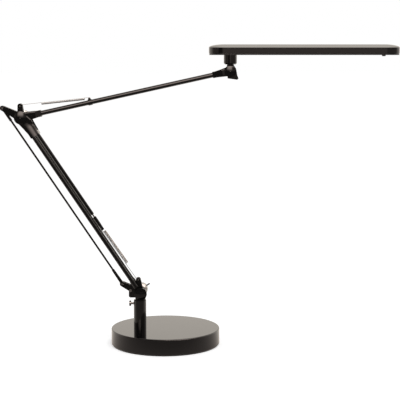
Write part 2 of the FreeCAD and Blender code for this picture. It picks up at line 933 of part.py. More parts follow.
def hook(centre_x, y, radius, side):
    """Three quarters of a loop round a pin, from the straight wire above it."""
    edges = []
    for index in range(3):
        turns = [math.radians(90 + side * 45 * (2 * index + step)) for step in range(3)]
        points = [Vector(centre_x + radius * math.cos(a), y, radius * math.sin(a)) for a in turns]
        edges.append(Part.Arc(*points).toShape())
    return edges


def spring_edges(length, coil_radius, wire_radius, pin_radius, start, end, turns):
    """Path of a tension spring along X, from a hook round the origin to a hook round (length, 0, 0)."""
    loop = pin_radius + wire_radius + hook_clearance
    axis_z = loop - coil_radius
    rate = (end - start) / (2 * math.pi * turns)
    slope = math.atan2(coil_radius, rate)
    bend_run = hook_bend_radius * math.sin(slope)
    bend_side = hook_bend_radius * (1 - math.cos(slope))

    def coil_point(turn):
        return Vector(
            start + rate * turn, -coil_radius * math.sin(turn), axis_z + coil_radius * math.cos(turn)
        )

    def coil_heading(turn):
        heading = Vector(rate, -coil_radius * math.cos(turn), -coil_radius * math.sin(turn))
        return heading.normalize()

    forward = Vector(1, 0, 0)
    first_bend = coil_point(0) + Vector(-bend_run, bend_side, 0)
    last_turn = 2 * math.pi * turns
    last_bend = coil_point(last_turn) + Vector(bend_run, -bend_side, 0)
    edges = list(reversed(hook(0, first_bend.y, loop, 1)))
    edges.append(Part.LineSegment(Vector(0, first_bend.y, loop), first_bend).toShape())
    edges.append(arc_from(first_bend, forward, coil_point(0)))
    for half in range(2 * turns):
        here = math.pi * half
        there = math.pi * (half + 1)
        edges += biarc(coil_point(here), coil_heading(here), coil_point(there), coil_heading(there))
    edges.append(arc_from(last_bend, forward * -1, coil_point(last_turn)))
    edges.append(Part.LineSegment(last_bend, Vector(length, last_bend.y, loop)).toShape())
    edges += hook(length, last_bend.y, loop, -1)
    return edges


def least_gap(path, wire_radius):
    """Least room between parts of the wire that are not next to each other, measured on points."""
    count = int(path.Length / (wire_radius / 2))
    points = path.discretize(count)
    step = path.Length / (count - 1)
    skipped = int(8 * wire_radius / step)
    reach = 8 * wire_radius
    least = float("inf")
    for index, point in enumerate(points):
        for other in points[index + skipped:]:
            if abs(other.x - point.x) < reach:
                least = min(least, point.distanceToPoint(other))
    return least - 2 * wire_radius


def make_spring(name, bottom, top, coil_radius, wire_radius, pin_radius, bottom_hook, top_hook, turns):
    """Tension spring between two cross pins, as one unbroken wire."""
    run = top - bottom
    edges = spring_edges(
        run.Length, coil_radius, wire_radius, pin_radius, bottom_hook, run.Length - top_hook, turns
    )
    path = Part.Wire(edges)
    print(name, "least gap", round(least_gap(path, wire_radius), 2), "mm")
    loop = pin_radius + wire_radius + hook_clearance
    tip = Vector(loop, edges[0].Vertexes[0].Point.y, 0)
    rim = []
    for side in range(wire_sides + 1):
        turn = math.radians(side * 360 / wire_sides)
        rim.append(tip + Vector(wire_radius * math.cos(turn), wire_radius * math.sin(turn), 0))
    spring = path.makePipeShell([Part.makePolygon(rim)], True, False)
    return placed(spring, bottom, math.degrees(math.atan2(run.z, run.x)))


def make_link_rod():
    start = link_socket_depth
    rod = rod_x(link_rod_radius, start, arm_length - start)
    return placed(rod, lower_link_pin, lower_arm_angle)


def link_end(radius, length, tip_radius, clearance):
    """Link end drawn from its pin along +X: a flat eye that runs out into a tapered round ferrule."""
    half = link_eye_thickness / 2
    eye = rod_y(Vector(0, 0, 0), link_eye_radius, -half, half)
    neck_start = link_pin_radius
    profile = outline((0, neck_start), (radius, neck_start), (tip_radius, length), (0, length))
    neck = turned(profile, Vector(0, 0, 0), Vector(1, 0, 0))
    reach = 2 * radius
    neck = neck.common(block((0, -half, -reach), (length, half, reach)))
    body = joined(eye, neck)
    socket = rod_x(link_rod_radius + running_clearance, link_socket_depth, length)
    hole = rod_y(Vector(0, 0, 0), link_pin_radius + clearance, -half, half)
    return body.cut([socket, hole])


def make_link_lower_end():
    body = link_end(link_foot_radius, link_foot_length, link_tip_radius, running_clearance)
    return placed(body, lower_link_pin, lower_arm_angle)


def make_link_upper_end():
    body = link_end(link_tip_radius, link_tip_length, link_tip_radius, open_pivot_clearance)
    return placed(body, elbow_link_pin, lower_arm_angle + 180)


def make_elbow_spacer():
    spacer = rod_y(elbow, bolt_head_radius, -plate_inner, plate_inner)
    return spacer.cut(rod_y(elbow, pivot_bolt_radius + running_clearance, -plate_inner, plate_inner))


def fork_outline(eye, length, half_height):
    """Side of a fork: a round eye at the origin that runs out, tangent, into a straight tail along +X."""
    waist = length - half_height
    lean = math.atan2(half_height, waist) + math.acos(eye / math.hypot(waist, half_height))
    tangent_x = eye * math.cos(lean)
    tangent_z = eye * math.sin(lean)
    return outline(
        (tangent_x, -tangent_z),
        ((-eye, 0), (tangent_x, tangent_z)),
        (waist, half_height),
        (length, half_height),
        (length, -half_height),
        (waist, -half_height),
    )


def arm_fork(eye, slot, length, half_height, half_width, end_half_width, socket_start):
    """Fork with soft edges on the end of the upper arm's tube, drawn from its pivot along +X."""
    origin = Vector(0, 0, 0)
    body = soft_prism(fork_outline(eye, length, half_height), -half_width, half_width, fork_edge_round)
    low_z = -2 * eye
    plan = Part.makePolygon(
        [
            Vector(-2 * eye, -half_width, low_z),
            Vector(slot, -half_width, low_z),
            Vector(length, -end_half_width, low_z),
            Vector(length, end_half_width, low_z),
            Vector(slot, half_width, low_z),
            Vector(-2 * eye, half_width, low_z),
            Vector(-2 * eye, -half_width, low_z),
        ]
    )
    body = body.common(Part.Face(plan).extrude(Vector(0, 0, 4 * eye)))
    cuts = [
        block((-2 * eye, -inner_cheek_in, low_z), (slot, inner_cheek_in, 2 * eye)),
        rod_y(origin, pivot_bolt_radius + running_clearance, -half_width, half_width),
        rod_x(upper_tube_radius + running_clearance, socket_start, length),
    ]
    return body.cut(cuts)


def head_fork_slot():
    """The head fork's slot ends clear of the heel of the knuckle's tail."""
    return math.hypot(tail_heel, tail_heel_drop) + 2 * moving_gap


def make_upper_arm_fork():
    fork = arm_fork(
        outer_eye_radius - socket_wall,
        upper_fork_slot,
        upper_fork_length,
        upper_fork_half_height,
        inner_cheek_out,
        upper_fork_end_half_width,
        upper_fork_slot + socket_wall,
    )
    return placed(fork, elbow, upper_arm_angle)


def make_head_fork():
    fork = arm_fork(
        head_fork_eye_radius,
        head_fork_slot(),
        head_fork_length,
        head_fork_half_height,
        head_cheek_out,
        upper_fork_end_half_width,
        head_fork_slot() + fork_web,
    )
    return placed(fork, head_pivot, upper_arm_angle + 180)


def make_upper_arm_tube():
    start = upper_fork_slot + socket_wall
    end = arm_length - head_fork_slot() - fork_web
    outer = rod_x(upper_tube_radius, start, end)
    inner = rod_x(upper_tube_radius - tube_wall, start, end)
    return placed(outer.cut(inner), elbow, upper_arm_angle)


def make_spring_clip():
    """Band round the upper tube with two small ears for the spring's pin."""
    start = spring_clip_at - spring_clip_length / 2
    end = spring_clip_at + spring_clip_length / 2
    bore = upper_tube_radius + running_clearance
    band_radius = bore + spring_clip_wall
    pin_z = upper_tube_radius + spring_clip_rise
    pin = Vector(spring_clip_at, 0, pin_z)
    gap = clip_gap()
    root = Vector(spring_clip_at, 0, 0)
    ears = []
    for low in (-gap - spring_clip_ear_thickness, gap):
        high = low + spring_clip_ear_thickness
        ears.append(bar(root, spring_clip_length / 2, pin, spring_clip_ear_radius, low, high))
    clip = joined(rod_x(band_radius, start, end), *ears)
    slot = block((start, -gap, upper_tube_radius), (end, gap, 2 * pin_z))
    hole = rod_y(pin, clip_pin_radius + running_clearance, -2 * gap, 2 * gap)
    return placed(clip.cut([rod_x(bore, start, end), slot, hole]), elbow, upper_arm_angle)


def clip_gap():
    """Half of the room between the clip's ears, for the hook of the upper spring."""
    return hook_bend_radius + upper_wire_radius + moving_gap


def make_clip_pin():
    return make_cross_pin(clip_pin, clip_pin_radius, clip_gap() + spring_clip_ear_thickness)


def make_head_knuckle():
    """Tongue in the head fork, with a blunt tail at its lower right and the head's swivel pin on top."""
    half = plate_outer
    x = head_pivot.x
    z = head_pivot.z
    flange_low = collar_bottom - head_flange_height
    neck = outline(
        (x - head_neck_radius, z),
        (x - head_neck_radius, flange_low),
        (x + head_neck_radius, flange_low),
        (x + tail_root_reach, z + tail_root_rise),
        (x + tail_reach - tail_blunt, z - tail_shoulder_drop),
        (x + tail_reach, z - tail_drop + tail_blunt),
        (x + tail_reach - tail_blunt, z - tail_drop),
        (x - tail_heel, z - tail_heel_drop),
    )
    body = joined(
        rod_y(head_pivot, tongue_radius, -half, half),
        prism(neck, -half, half),
        rod_z(x, 0, head_neck_radius, flange_low, collar_bottom),
        rod_z(x, 0, swivel_pin_radius, collar_bottom, bezel_top + moving_gap),
    )
    screw_hole = rod_z(
        x, 0, retainer_screw_radius + running_clearance, retainer_screw_low(), bezel_top + moving_gap
    )
    pivot_hole = rod_y(head_pivot, pivot_bolt_radius + running_clearance, -half, half)
    return body.cut([screw_hole, pivot_hole])


def retainer_screw_low():
    return bezel_top + moving_gap + retainer_thickness - retainer_screw_length


def make_swivel_retainer():
    """Screw with a wide flange that keeps the head on its swivel pin."""
    low = bezel_top + moving_gap
    face = low + retainer_thickness
    flange = rod_z(head_pivot.x, 0, retainer_radius, low, face)
    head = rod_z(head_pivot.x, 0, retainer_screw_head_radius, face, face + retainer_screw_head_height)
    return joined(flange, head, rod_z(head_pivot.x, 0, retainer_screw_radius, retainer_screw_low(), low))


def make_head_collar():
    profile = outline(
        (swivel_pin_radius + running_clearance, collar_bottom),
        (collar_radius - collar_round, collar_bottom),
        (collar_radius, collar_bottom + collar_round),
        (collar_radius, head_bottom),
        (collar_tenon_radius, head_bottom),
        (collar_tenon_radius, bezel_top),
        (swivel_pin_radius + running_clearance, bezel_top),
    )
    return turned(profile, Vector(head_pivot.x, 0, 0), Vector(0, 0, 1))


def head_screw_spots():
    spots = []
    for x in (head_start + head_screw_inset_x, head_start + head_length - head_screw_inset_x):
        for y in (-head_width / 2 + head_screw_inset_y, head_width / 2 - head_screw_inset_y):
            spots.append((x, y))
    return spots


def board_pads():
    """Pads under the housing's roof that carry the two boards."""
    driver_x = window_x - driver_gap - driver_length / 2
    spots = [(driver_x, -driver_width / 4), (driver_x, driver_width / 4)]
    for along_window in (board_pad_inset, window_length / 2, window_length - board_pad_inset):
        spots.append((window_x + along_window, 0))
    pad_top = housing_roof + housing_wall / 2
    return [rod_z(x, y, board_pad_radius, board_top, pad_top) for x, y in spots]


def make_head_housing():
    """Thin shell, open below, with straight sides and a smooth crown that ends as a quarter ellipse."""
    half_x = head_length / 2
    half_y = head_width / 2
    sections = []
    for step in range(crown_steps + 1):
        turn = math.radians(90 * step / crown_steps)
        share = math.sin(turn)
        end_inset = crown_end_run * (1 - math.cos(turn))
        side_inset = crown_side_run * share
        corner = head_corner_radius + (crown_top_corner - head_corner_radius) * share
        height = housing_top + crown_height * share
        sections.append(rounded_plate(half_x - end_inset, half_y - side_inset, corner, height))
    crown = Part.makeLoft(sections, True, False)
    crown.translate(Vector(head_middle, 0, 0))
    sides = rounded_slab(half_x, half_y, head_corner_radius, bezel_top, housing_top, head_middle)
    body = joined(sides, crown)
    pocket = rounded_slab(
        half_x - housing_wall,
        half_y - housing_wall,
        head_corner_radius - housing_wall,
        bezel_top,
        housing_roof,
        head_middle,
    )
    shell = body.cut(pocket)
    bosses = board_pads()
    holes = []
    for x, y in head_screw_spots():
        bosses.append(rod_z(x, y, head_boss_radius, bezel_top, housing_roof + housing_wall / 2))
        holes.append(rod_z(x, y, head_screw_radius + running_clearance, bezel_top, housing_roof))
    return joined(shell, *bosses).cut(holes)


def make_head_bezel():
    half_x = head_length / 2 - bezel_inset
    half_y = head_width / 2 - bezel_inset
    corner = head_corner_radius - bezel_inset
    plate = rounded_slab(half_x, half_y, corner, head_bottom, bezel_top, head_middle)
    lip_top = bezel_top + bezel_lip_height

    def lip_slab(inset, low):
        return rounded_slab(half_x - inset, half_y - inset, corner - inset, low, lip_top, head_middle)

    lip_inset = housing_wall + seat_clearance - bezel_inset
    lip = lip_slab(lip_inset, head_bottom)
    bezel = joined(plate, lip).cut(lip_slab(lip_inset + bezel_lip_wall, bezel_top))
    window_middle = window_x + window_length / 2
    ledge_height = bezel_top - diffuser_thickness
    head_seat = head_bottom + head_screw_head_height
    cuts = [
        rounded_slab(
            window_length / 2, window_width / 2, window_ledge, head_bottom, bezel_top, window_middle
        ),
        rounded_slab(
            window_length / 2 + window_ledge,
            window_width / 2 + window_ledge,
            window_ledge,
            ledge_height,
            bezel_top,
            window_middle,
        ),
        rod_z(head_pivot.x, 0, collar_tenon_radius + running_clearance, head_bottom, bezel_top),
        rod_z(button_x, 0, button_radius + running_clearance, head_bottom, bezel_top),
    ]
    for x, y in head_screw_spots():
        cuts.append(rod_z(x, y, head_screw_radius + running_clearance, head_bottom, lip_top))
        cuts.append(rod_z(x, y, head_screw_head_radius + seat_clearance, head_bottom, head_seat))
        cuts.append(rod_z(x, y, head_boss_radius + seat_clearance, bezel_top, lip_top))
    return bezel.cut(cuts)


def make_diffuser():
    margin = window_ledge - seat_clearance
    return rounded_slab(
        window_length / 2 + margin,
        window_width / 2 + margin,
        margin,
        bezel_top - diffuser_thickness,
        bezel_top,
        window_x + window_length / 2,
    )


def make_led_board():
    low = (window_x + board_margin, -window_width / 2, board_bottom)
    high = (window_x + window_length - board_margin, window_width / 2, board_top)
    return block(low, high)


def make_leds():
    chips = []
    pitch = window_length / led_columns
    half = led_size / 2
    for column in range(led_columns):
        for row in range(led_rows):
            x = window_x + pitch * (column + 0.5)
            y = led_row_gap * (row - (led_rows - 1) / 2)
            low = (x - half, y - half, board_bottom - led_height)
            chips.append(block(low, (x + half, y + half, board_bottom)))
    return Part.makeCompound(chips)


def make_driver_board():
    """Small board beside the collar, with a choke and two capacitors under it."""
    end = window_x - driver_gap
    start = end - driver_length
    half = driver_width / 2
    board = block((start, -half, board_bottom), (end, half, board_top))
    low = board_bottom - driver_part_height
    middle = (start + end) / 2
    choke_y = -half + choke_inset
    choke_low = (middle - choke_size / 2, choke_y, low)
    choke = block(choke_low, (middle + choke_size / 2, choke_y + choke_size, board_bottom))
    parts = [choke]
    for y in (half - capacitor_inset, half - capacitor_inset - capacitor_pitch):
        parts.append(rod_z(middle, y, capacitor_radius, low, board_bottom))
    return joined(board, *parts)


def make_head_screws():
    screws = []
    for x, y in head_screw_spots():
        head = rod_z(x, y, head_screw_head_radius, head_bottom, head_bottom + head_screw_head_height)
        shank = rod_z(x, y, head_screw_radius, head_bottom, housing_roof - housing_wall)
        screws.append(joined(head, shank))
    return Part.makeCompound(screws)


def switch_bottom():
    return bezel_top + button_flange_thickness + button_travel + moving_gap


def make_push_switch():
    half = switch_size / 2
    body = block((button_x - half, -half, switch_bottom()), (button_x + half, half, housing_roof))
    depth = button_stem_grip + button_travel + moving_gap
    low = switch_bottom()
    return body.cut(rod_z(button_x, 0, button_stem_radius + running_clearance, low, low + depth))


def make_button():
    """Push button under the head, with a soft edge, held by a flange above the bezel."""
    low = head_bottom - button_stand
    stem_top = switch_bottom() + button_stem_grip
    flange_top = bezel_top + button_flange_thickness
    profile = outline(
        (0, low),
        (button_radius - button_edge, low),
        (button_radius, low + button_edge),
        (button_radius, bezel_top),
        (button_flange_radius, bezel_top),
        (button_flange_radius, flange_top),
        (button_stem_radius, flange_top),
        (button_stem_radius, stem_top),
        (0, stem_top),
    )
    return turned(profile, Vector(button_x, 0, 0), Vector(0, 0, 1))


def make_nodes():
    """Every piece of the lamp under its own name."""
    nodes = {
        "base_shell": make_base_shell(),
        "base_ballast": make_base_ballast(),
        "base_pad": make_base_pad(),
        "base_screws": make_base_screws(),
        "power_inlet": make_power_inlet(),
        "post": make_post(),
        "post_nut": make_post_nut(),
        "wing_screw": make_wing_screw(),
        "swivel_knuckle": make_swivel_knuckle(),
        "heel_screw": make_heel_screw(),
        "lower_link_pin": make_cross_pin(lower_link_pin, link_pin_radius, plate_outer),
        "lower_spring_pin": make_cross_pin(lower_ear_pin, spring_pin_radius, plate_outer),
        "lower_pivot_bolt": make_pivot_bolt(lower_pivot, outer_cheek_out, outer_cheek_out + bolt_reach()),
        "lower_pivot_cap": make_pivot_cap(lower_pivot, outer_cheek_out, cap_radius),
        "lower_clamp_knob": make_lower_clamp_knob(),
        "tommy_bar": tommy_cylinder(tommy_bar_radius),
        "elbow_fork": make_elbow_fork(),
        "spring_sleeve": make_spring_sleeve(),
        "spring_rod": make_spring_rod(),
        "spring_anchor": make_spring_anchor(),
        "anchor_pin": make_anchor_pin(),
        "lower_spring": make_spring(
            "lower_spring",
            lower_ear_pin,
            anchor_pin,
            lower_spring_radius,
            lower_wire_radius,
            spring_pin_radius,
            lower_hook_length,
            lower_top_hook_length,
            lower_spring_turns,
        ),
        "elbow_pivot_bolt": make_pivot_bolt(elbow, outer_cheek_out, outer_cheek_out + bolt_reach()),
        "elbow_cap": make_pivot_cap(elbow, outer_cheek_out, cap_radius),
        "link_rod": make_link_rod(),
        "link_lower_end": make_link_lower_end(),
        "link_upper_end": make_link_upper_end(),
        "elbow_spacer": make_elbow_spacer(),
        "elbow_link_pin": make_cross_pin(elbow_link_pin, link_pin_radius, plate_outer),
        "elbow_spring_pin": make_cross_pin(elbow_ear_pin, spring_pin_radius, plate_outer),
        "elbow_clamp_knob": make_clamp_knob(elbow, outer_cheek_out),
        "upper_arm_fork": make_upper_arm_fork(),
        "upper_arm_tube": make_upper_arm_tube(),
        "head_fork": make_head_fork(),
        "spring_clip": make_spring_clip(),
        "clip_pin": make_clip_pin(),
        "upper_spring": make_spring(
            "upper_spring",
            elbow_ear_pin,
            clip_pin,
            upper_spring_radius,
            upper_wire_radius,
            spring_pin_radius,
            upper_hook_length,
            upper_top_hook_length,
            upper_spring_turns,
        ),
        "head_pivot_bolt": make_pivot_bolt(
            head_pivot, head_cheek_out, head_cheek_out + head_knob_length - bolt_head_height
        ),
        "head_pivot_cap": make_pivot_cap(head_pivot, head_cheek_out, head_cap_radius),
        "head_clamp_knob": make_head_clamp_knob(),
        "head_knuckle": make_head_knuckle(),
        "swivel_retainer": make_swivel_retainer(),
        "head_collar": make_head_collar(),
        "head_housing": make_head_housing(),
        "head_bezel": make_head_bezel(),
        "diffuser": make_diffuser(),
        "led_board": make_led_board(),
        "leds": make_leds(),
        "driver_board": make_driver_board(),
        "head_screws": make_head_screws(),
        "push_switch": make_push_switch(),
        "button": make_button(),
    }
    for name, side in (("front", -1), ("rear", 1)):
        low, high = sorted((side * plate_inner, side * plate_outer))
        nodes["swivel_plate_" + name] = make_swivel_plate(low, high)
        nodes["elbow_plate_" + name] = make_lug_plate(elbow, elbow_ear_pin, low, high)
        nodes["lower_arm_eye_" + name] = make_lower_arm_eye(side)
        nodes["lower_arm_tube_" + name] = make_lower_arm_tube(side)
    return nodes


os.makedirs("parts", exist_ok=True)
for node_name, node_shape in make_nodes().items():
    node_shape.exportStep("parts/" + node_name + ".step")
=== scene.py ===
import json
import math

import bmesh
import bpy
from bpy.props import FloatProperty, FloatVectorProperty, IntProperty, PointerProperty
from mathutils import Matrix, Vector


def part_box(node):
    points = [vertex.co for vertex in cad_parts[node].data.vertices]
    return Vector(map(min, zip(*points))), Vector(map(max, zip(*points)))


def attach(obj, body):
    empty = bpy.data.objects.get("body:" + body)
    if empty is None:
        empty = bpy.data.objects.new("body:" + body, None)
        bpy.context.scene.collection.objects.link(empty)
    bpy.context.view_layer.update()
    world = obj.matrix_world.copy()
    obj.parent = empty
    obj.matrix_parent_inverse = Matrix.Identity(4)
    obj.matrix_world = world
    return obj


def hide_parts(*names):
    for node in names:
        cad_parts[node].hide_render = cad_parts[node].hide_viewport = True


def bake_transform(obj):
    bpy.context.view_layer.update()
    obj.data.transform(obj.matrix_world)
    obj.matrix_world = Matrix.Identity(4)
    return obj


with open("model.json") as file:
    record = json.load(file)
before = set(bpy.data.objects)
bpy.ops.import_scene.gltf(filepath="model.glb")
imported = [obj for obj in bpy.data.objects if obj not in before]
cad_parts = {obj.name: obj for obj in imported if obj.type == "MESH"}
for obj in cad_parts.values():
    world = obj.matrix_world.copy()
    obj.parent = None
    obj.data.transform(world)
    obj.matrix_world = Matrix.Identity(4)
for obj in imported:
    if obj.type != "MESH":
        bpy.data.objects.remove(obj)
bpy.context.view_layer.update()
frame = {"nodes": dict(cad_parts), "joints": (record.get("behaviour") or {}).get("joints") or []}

bl_info = {
    "name": "LED desk lamp finish",
    "version": (1, 0, 0),
    "blender": (4, 5, 0),
    "location": "3D View > Sidebar > Desk lamp",
    "description": "Finishes, springs and studio of a black LED desk lamp with a balanced arm",
    "category": "Object",
}

nodes = frame["nodes"]
MM = 0.001
WHITE = (1.0, 1.0, 1.0)
SHARP_ANGLE = math.radians(35)

# Fields of light and dark that gloss sees. A side goes from -1 at the left to 1 at the right,
# a rise from 0 at the horizon to 1 overhead.
STRIP_SIDES = (-0.64, -0.2)
WINDOW_SIDES = (-0.12, 0.2)
FIELD_EDGE = 0.06
OVERHEAD_SIDES = (-0.45, 0.25)
OVERHEAD_EDGE = 0.15
OVERHEAD_RISE = (0.02, 0.5)
RIGHT_BOX_SIDES = (0.1, 0.35)
RIGHT_BOX_RISE = (0.46, 0.72)
BEHIND_REACH = (-0.1, 0.35)

# Depths in metres between which the floor changes in gloss, in front of the lamp and behind it.
FLOOR_FRONT = (-0.55, -0.4)
FLOOR_BACK = (-0.2, 0.15)

# Parts of the noise that show as smudges and as dust, and how dust lightens a colour.
SMUDGE_FIELD = (0.42, 0.72)
DUST_FIELD = (0.7, 0.8)
DUST_GAIN = 1.5
DUST_LIFT = 0.004

# Where a spring's hook and its coil go over from the one body to the other, as shares of the way
# from the bottom pin to the top pin.
LOWER_SPANS = ((-0.0824, 0.4832), (-1.8177, 1.1665))
UPPER_SPANS = ((-0.0706, 0.4353), (-2.0, 1.0779))


def middle_of(node):
    """Middle of a node's box."""
    low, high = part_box(node)
    return (Vector(low) + Vector(high)) / 2


def joint_point(name):
    """Pivot of a joint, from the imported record."""
    for joint in frame["joints"]:
        if joint["name"] == name:
            return Vector(joint["pos_m"])
    raise KeyError(name)


class LampStage(bpy.types.PropertyGroup):
    """Camera, light and floor."""

    camera_place: FloatVectorProperty(
        name="Camera place",
        description="Where the camera stands",
        default=(0.0608, -2.046, 0.505),
        subtype="TRANSLATION",
        unit="LENGTH",
    )
    camera_pitch: FloatProperty(
        name="Camera pitch",
        description="How far the camera looks down",
        default=math.radians(6.98),
        subtype="ANGLE",
    )
    camera_lens: FloatProperty(
        name="Lens", description="Focal length", default=106.65, unit="CAMERA"
    )
    camera_reach: FloatProperty(
        name="Camera reach", description="How far the camera sees", default=100.0, unit="LENGTH"
    )
    floor_reach: FloatProperty(
        name="Floor reach", description="Half the floor's side", default=30.0, unit="LENGTH"
    )
    floor_colour: FloatVectorProperty(
        name="Floor", description="Colour of the floor", default=(0.92, 0.92, 0.92), subtype="COLOR"
    )
    surround_light: FloatProperty(
        name="Surround light",
        description="Light from the white surround on dull surfaces",
        default=0.62,
    )
    front_level: FloatProperty(
        name="Front level",
        description="How bright the room behind the camera looks in a gloss surface",
        default=0.36,
        subtype="FACTOR",
    )
    floor_lift: FloatProperty(
        name="Floor lift",
        description="Light added to the floor where the camera sees it",
        default=0.45,
    )
    floor_near: FloatProperty(
        name="Near floor in gloss",
        description="How bright the floor right in front looks in a gloss surface",
        default=0.3,
        subtype="FACTOR",
    )
    floor_far: FloatProperty(
        name="Far floor in gloss",
        description="How bright the floor far in front looks in a gloss surface",
        default=0.1,
        subtype="FACTOR",
    )
    back_level: FloatProperty(
        name="Back level",
        description="How bright the white behind the lamp looks in gloss",
        default=1.18,
    )
    overhead_level: FloatProperty(
        name="Overhead level",
        description="How bright the overhead light looks in a gloss surface",
        default=5.0,
    )
    box_level: FloatProperty(
        name="Right box level",
        description="How bright the softbox at the right looks in gloss",
        default=5.0,
    )
    strip_depth: FloatProperty(
        name="Strip depth",
        description="How much darker the strip left of the camera is",
        default=0.28,
    )
    window_level: FloatProperty(
        name="Window level",
        description="How much brighter the room behind the camera is",
        default=0.3,
    )
    gloss_tint: FloatVectorProperty(
        name="Tint in gloss",
        description="Warm tint of the room in a gloss surface",
        default=(1.0, 0.84, 0.76),
        subtype="COLOR",
    )
    back_tint: FloatVectorProperty(
        name="Back tint in gloss",
        description="Tint of the white behind the lamp in a gloss surface",
        default=(1.0, 0.93, 0.84),
        subtype="COLOR",
    )
    card_low: FloatVectorProperty(
        name="Dark card low corner",
        description="Low left corner of the dark card in front of the lower arm",
        default=(-0.6, -0.3, 0.1),
        subtype="TRANSLATION",
        unit="LENGTH",
    )
    card_size: FloatVectorProperty(
        name="Dark card size",
        description="Width and height of the dark card",
        default=(0.8, 0.3),
        size=2,
        unit="LENGTH",
    )
    card_level: FloatProperty(
        name="Dark card level", description="How bright the dark card looks in gloss", default=0.1
    )
    box_place: FloatVectorProperty(
        name="Softbox place",
        description="Where the softbox hangs",
        default=(0.28, -0.72, 1.55),
        subtype="TRANSLATION",
        unit="LENGTH",
    )
    box_aim: FloatVectorProperty(
        name="Softbox aim",
        description="Point that the softbox faces",
        default=(0.05, 0.0, 0.3),
        subtype="TRANSLATION",
        unit="LENGTH",
    )
    box_size: FloatProperty(
        name="Softbox size", description="Side of the square softbox", default=0.5, unit="LENGTH"
    )
    box_power: FloatProperty(
        name="Softbox power", description="Power of the softbox", default=5.5, unit="POWER"
    )


class LampFinish(bpy.types.PropertyGroup):
    """Colours of the finishes."""

    gloss_black: FloatVectorProperty(
        name="Gloss black",
        description="Polished black plastic",
        default=(0.0028, 0.0028, 0.003),
        subtype="COLOR",
    )
    enamel_black: FloatVectorProperty(
        name="Black enamel",
        description="Paint on the metal",
        default=(0.0035, 0.0034, 0.0034),
        subtype="COLOR",
    )
    satin_black: FloatVectorProperty(
        name="Satin black",
        description="Moulded bezel",
        default=(0.006, 0.006, 0.0062),
        subtype="COLOR",
    )
    zinc: FloatVectorProperty(
        name="Bright zinc",
        description="Plated pins and screws",
        default=(0.36, 0.36, 0.35),
        subtype="COLOR",
    )
    spring_steel: FloatVectorProperty(
        name="Spring steel",
        description="Drawn spring wire",
        default=(0.3, 0.295, 0.285),
        subtype="COLOR",
    )
    satin_silver: FloatVectorProperty(
        name="Satin silver",
        description="Turned clamp knobs",
        default=(0.36, 0.355, 0.35),
        subtype="COLOR",
    )
    rubber: FloatVectorProperty(
        name="Rubber",
        description="Pad under the base",
        default=(0.018, 0.018, 0.019),
        subtype="COLOR",
    )
    diffuser: FloatVectorProperty(
        name="Diffuser",
        description="Milky light window",
        default=(0.82, 0.82, 0.8),
        subtype="COLOR",
    )
    cast_iron: FloatVectorProperty(
        name="Cast iron", description="Ballast", default=(0.05, 0.048, 0.046), subtype="COLOR"
    )
    white_board: FloatVectorProperty(
        name="White board",
        description="Board of the lights",
        default=(0.78, 0.78, 0.76),
        subtype="COLOR",
    )
    phosphor: FloatVectorProperty(
        name="Phosphor", description="Lights when off", default=(0.85, 0.62, 0.12), subtype="COLOR"
    )
    green_board: FloatVectorProperty(
        name="Green board", description="Driver board", default=(0.02, 0.14, 0.05), subtype="COLOR"
    )


class LampSprings(bpy.types.PropertyGroup):
    """Sizes of the two tension springs."""

    lower_turns: IntProperty(name="Lower turns", description="Turns of the lower spring", default=58)
    lower_coil: FloatProperty(
        name="Lower coil radius", description="Middle of the wire", default=2.55 * MM, unit="LENGTH"
    )
    lower_wire: FloatProperty(
        name="Lower wire radius",
        description="Half the wire's thickness",
        default=0.45 * MM,
        unit="LENGTH",
    )
    upper_turns: IntProperty(name="Upper turns", description="Turns of the upper spring", default=80)
    upper_coil: FloatProperty(
        name="Upper coil radius", description="Middle of the wire", default=1.75 * MM, unit="LENGTH"
    )
    upper_wire: FloatProperty(
        name="Upper wire radius",
        description="Half the wire's thickness",
        default=0.35 * MM,
        unit="LENGTH",
    )
    lower_hooks: FloatVectorProperty(
        name="Lower hooks",
        description="From the bottom and the top pin to the lower coil",
        default=(36 * MM, 7 * MM),
        size=2,
        unit="LENGTH",
    )
    upper_hooks: FloatVectorProperty(
        name="Upper hooks",
        description="From the bottom and the top pin to the upper coil",
        default=(37 * MM, 8 * MM),
        size=2,
        unit="LENGTH",
    )
    pin_radius: FloatProperty(
        name="Pin radius", description="Radius of the spring pins", default=1.3 * MM, unit="LENGTH"
    )
    hook_clearance: FloatProperty(
        name="Hook clearance",
        description="Room between pin and hook",
        default=0.15 * MM,
        unit="LENGTH",
    )
    wire_sides: IntProperty(name="Wire sides", description="Flats around the wire", default=8)


class LampEdges(bpy.types.PropertyGroup):
    """Sizes of the rounded fork and of the broken edges."""

    fork_angle: FloatProperty(
        name="Fork angle",
        description="How the lower arm leaves the elbow, from the right",
        default=math.radians(123.6 - 180.0),
        subtype="ANGLE",
    )
    fork_half_height: FloatProperty(
        name="Fork half height",
        description="Half the fork's height",
        default=11.0 * MM,
        unit="LENGTH",
    )
    fork_crown: FloatProperty(
        name="Fork crown",
        description="How far the cheeks are rounded over",
        default=2.6 * MM,
        unit="LENGTH",
    )
    fork_slot: FloatProperty(
        name="Fork slot",
        description="From the pivot to the slot's end",
        default=33.0 * MM,
        unit="LENGTH",
    )
    fork_cheek: FloatProperty(
        name="Fork cheek",
        description="From the middle to a cheek's inner face",
        default=8.1 * MM,
        unit="LENGTH",
    )
    plate_edge: FloatProperty(
        name="Plate edge", description="Width of a broken edge", default=0.4 * MM, unit="LENGTH"
    )


def add_node(tree, kind, inputs=None, **settings):
    """New node with its settings, and its inputs as values or as links."""
    made = tree.nodes.new(kind)
    for key, value in settings.items():
        setattr(made, key, value)
    for key, value in (inputs or {}).items():
        if isinstance(value, bpy.types.NodeSocket):
            tree.links.new(value, made.inputs[key])
        else:
            made.inputs[key].default_value = value
    return made


